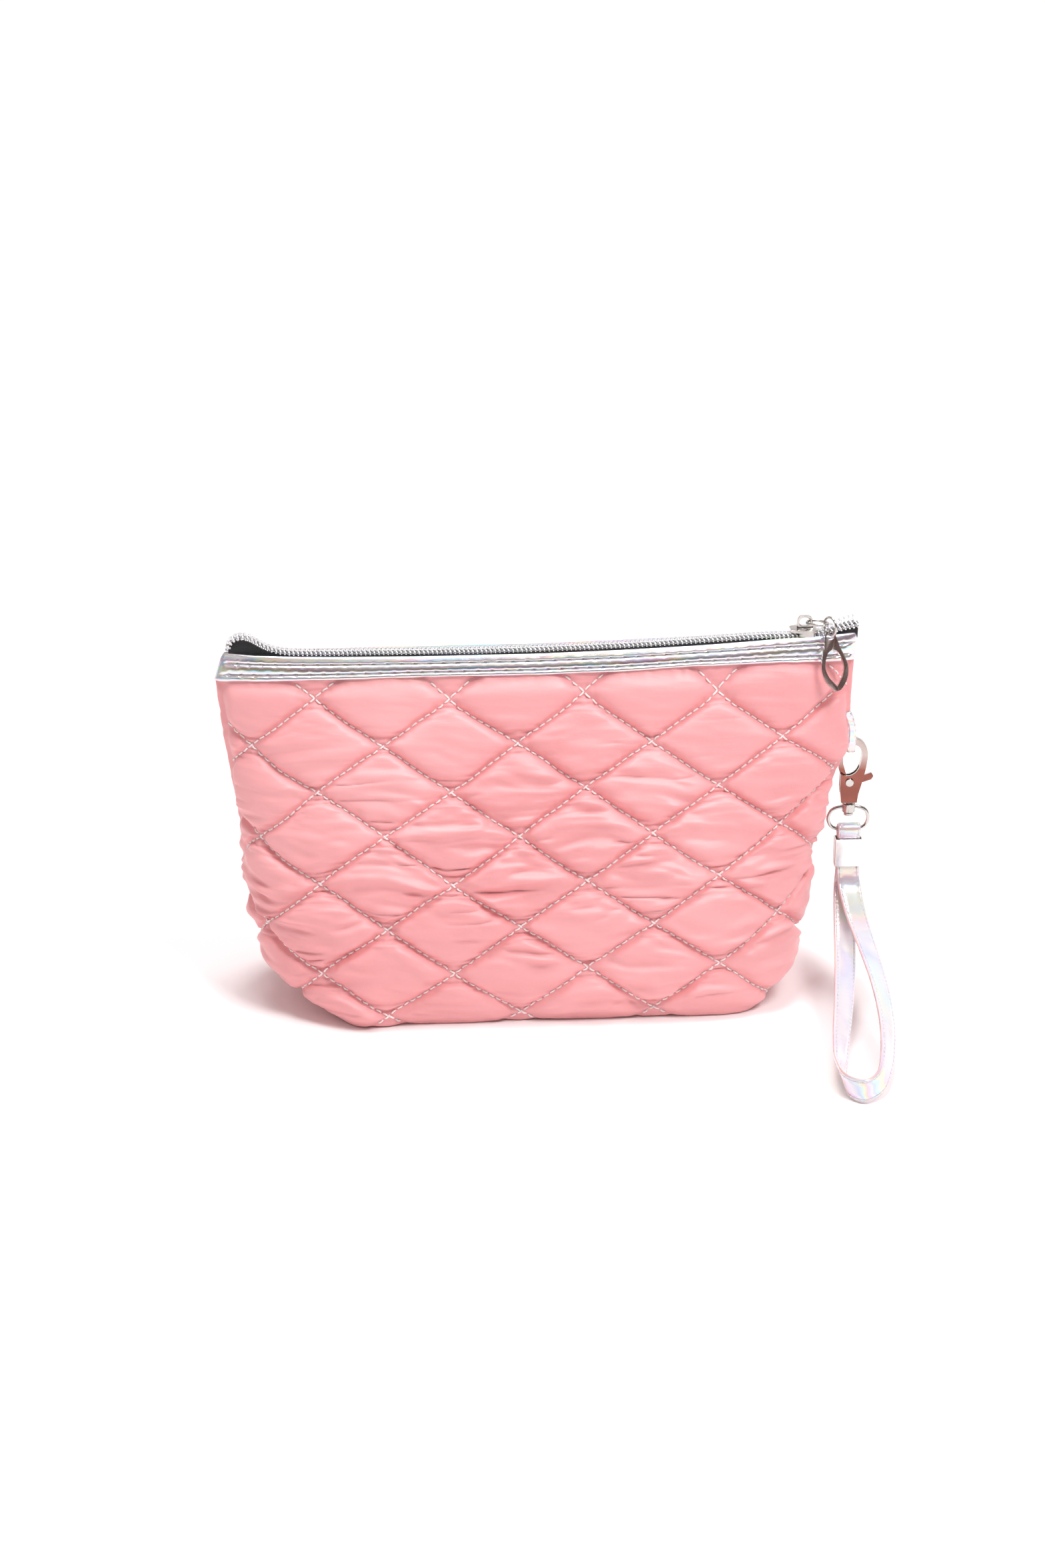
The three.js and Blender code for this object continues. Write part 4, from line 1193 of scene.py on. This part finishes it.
def strap_height(gone, order, thick, half_width, emboss):
    """Height of one face over the strap's middle: rounded, sewn down, and embossed or plain."""
    crown = 0.5 * thick * (1 - 0.75 * smoothstep(0.9, 1.0, abs(order)))
    crown = crown + 0.12 * np.exp(-((abs(order) - 0.45) / 0.4) ** 2)
    sewn = np.exp(-((abs(order) - SEW_LINE) / 0.06) ** 2)[None, :]
    phase = np.mod(gone / STRAP_PITCH, 1)[:, None]
    height = crown[None, :] - sewn * (0.1 + 0.2 * np.exp(-((phase - 0.5) / 0.17) ** 2))
    inner = (abs(order) < 0.7)[None, :]
    slant = np.mod(gone[:, None] / SCALLOP_PITCH + order[None, :] * SCALLOP_SLANT, 1)
    height = height + inner * emboss * (2 * np.sqrt(slant * (1 - slant)) - 0.8)
    return height + 0.05 * value_noise(gone[:, None], order[None, :] * half_width, 3.0, 71)


def strap_object(name, path, half_width, thick, film, step=0.45, emboss=0.1):
    """A flat strap of two films with painted edges. Stitches sink into both faces, and its inner
    face has a row of slanting embossed scallops."""
    centre, wide, face, gone = strap_frames(path, step)
    rings = []
    for side, order in ((1, ACROSS), (-1, ACROSS[::-1])):
        height = strap_height(gone, order, thick, half_width, emboss if side < 0 else 0)
        out = wide[:, None] * (order * half_width)[None, :, None]
        rings.append(centre[:, None] + out + face[:, None] * (side * height)[..., None])
    points = np.concatenate(rings, axis=1)
    rows, columns = points.shape[:2]
    faces = grid_faces(rows, columns, wrap=True)
    cap = list(range(columns))
    faces += [cap[::-1], [(rows - 1) * columns + k for k in cap]]
    piece = make_object(name, points, faces)
    piece.data.materials.append(film)
    piece.data.materials.append(EDGE_PAINT)
    count = len(ACROSS)
    edges = {0, count - 2, count - 1, count, 2 * count - 2, 2 * count - 1}
    marks = [1 if f % columns in edges else 0 for f in range((rows - 1) * columns)] + [1, 1]
    piece.data.polygons.foreach_set("material_index", marks)
    return piece


def strap_thread(name, path, half_width, thick, step=0.3):
    """Both rows of stitches on both faces of a strap."""
    centre, wide, face, gone = strap_frames(path, step)
    paths = []
    for side in (1, -1):
        lift = (side * (thick / 2 + STRAP_STITCH_LIFT))[:, None]
        for edge in (-SEW_LINE, SEW_LINE):
            for number in range(1, int(gone[-1] / STRAP_PITCH) - 1):
                spots = (number + 0.5 + np.linspace(0.08, 0.92, 5)) * STRAP_PITCH
                middle, out, up = [
                    np.stack([np.interp(spots, gone, field[:, k]) for k in range(3)], axis=1)
                    for field in (centre, wide, face)]
                paths.append(middle + out * edge * half_width + up * lift)
    return many_tubes(name, paths, STRAP_THREAD_RADIUS, 5)


def add_straps():
    path = [(STRAP_X + x, y, z, lean) for x, y, z, lean in STRAP_PATH]
    strap = strap_object("wrist_strap_film", path, STRAP_HALF_WIDTH, STRAP_THICK, PEARL)
    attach(strap, "strap")
    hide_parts("wrist_strap")
    thread = strap_thread("wrist_strap_thread", path, STRAP_HALF_WIDTH, STRAP_THICK)
    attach(dress(thread, STRAP_THREAD), "strap")
    tab = strap_object(
        "side_tab_film", TAB_PATH, TAB_HALF_WIDTH, TAB_THICK, FOIL, step=0.35, emboss=0)
    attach(tab, "bag")
    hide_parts("side_tab")


# ---- nickel parts -------------------------------------------------------------------------
# Points closer than this are welded, in millimetres. Faces closer to flat than this are joined,
# and edges sharper than this are rounded, in degrees.
WELD_GAP, FLAT_ANGLE, EDGE_ANGLE = 0.01, 1, 32
# Each hard-edged CAD part: the width of its rounded edges in millimetres, and its finish.
EDGED = (
    ("slider_body", 0.22, NICKEL), ("pull_tab", 0.5, PULL_NICKEL_PAINTED_REFLECTION),
    ("clasp_body", 0.6, CLASP_NICKEL_PAINTED_REFLECTION), ("clasp_lever", 0.2, CLASP_NICKEL_PAINTED_REFLECTION),
    ("lever_rivet", 0.18, NICKEL), ("swivel_post", 0.3, NICKEL),
    ("d_ring", 0.25, NICKEL), ("strap_clamp", 0.22, CLAMP_NICKEL_PAINTED_REFLECTION),
)
BENT_WIRES = ("link", "pull_ring", "lever_spring")


def metal(node, finish):
    """Gives a CAD part a nickel finish and joins its facets for the modifiers that follow."""
    piece = dress(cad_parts[node], finish)
    piece.data.polygons.foreach_set("use_smooth", [True] * len(piece.data.polygons))
    piece.modifiers.new("weld", "WELD").merge_threshold = WELD_GAP * MM
    return piece


def round_edges(piece, width):
    flatten = piece.modifiers.new("flatten", "DECIMATE")
    flatten.decimate_type = "DISSOLVE"
    flatten.angle_limit = math.radians(FLAT_ANGLE)
    bevel = piece.modifiers.new("bevel", "BEVEL")
    bevel.width, bevel.segments = width * MM, 3
    bevel.angle_limit = math.radians(EDGE_ANGLE)
    bevel.harden_normals = True
    bevel.miter_outer = "MITER_ARC"


def add_metal():
    for node, width, finish in EDGED:
        round_edges(metal(node, finish), width)
    for node in BENT_WIRES:
        finer = metal(node, NICKEL).modifiers.new("finer", "SUBSURF")
        finer.levels = finer.render_levels = 2


add_quilts()
add_base()
add_linings()
add_bands()
add_zip()
add_straps()
add_metal()
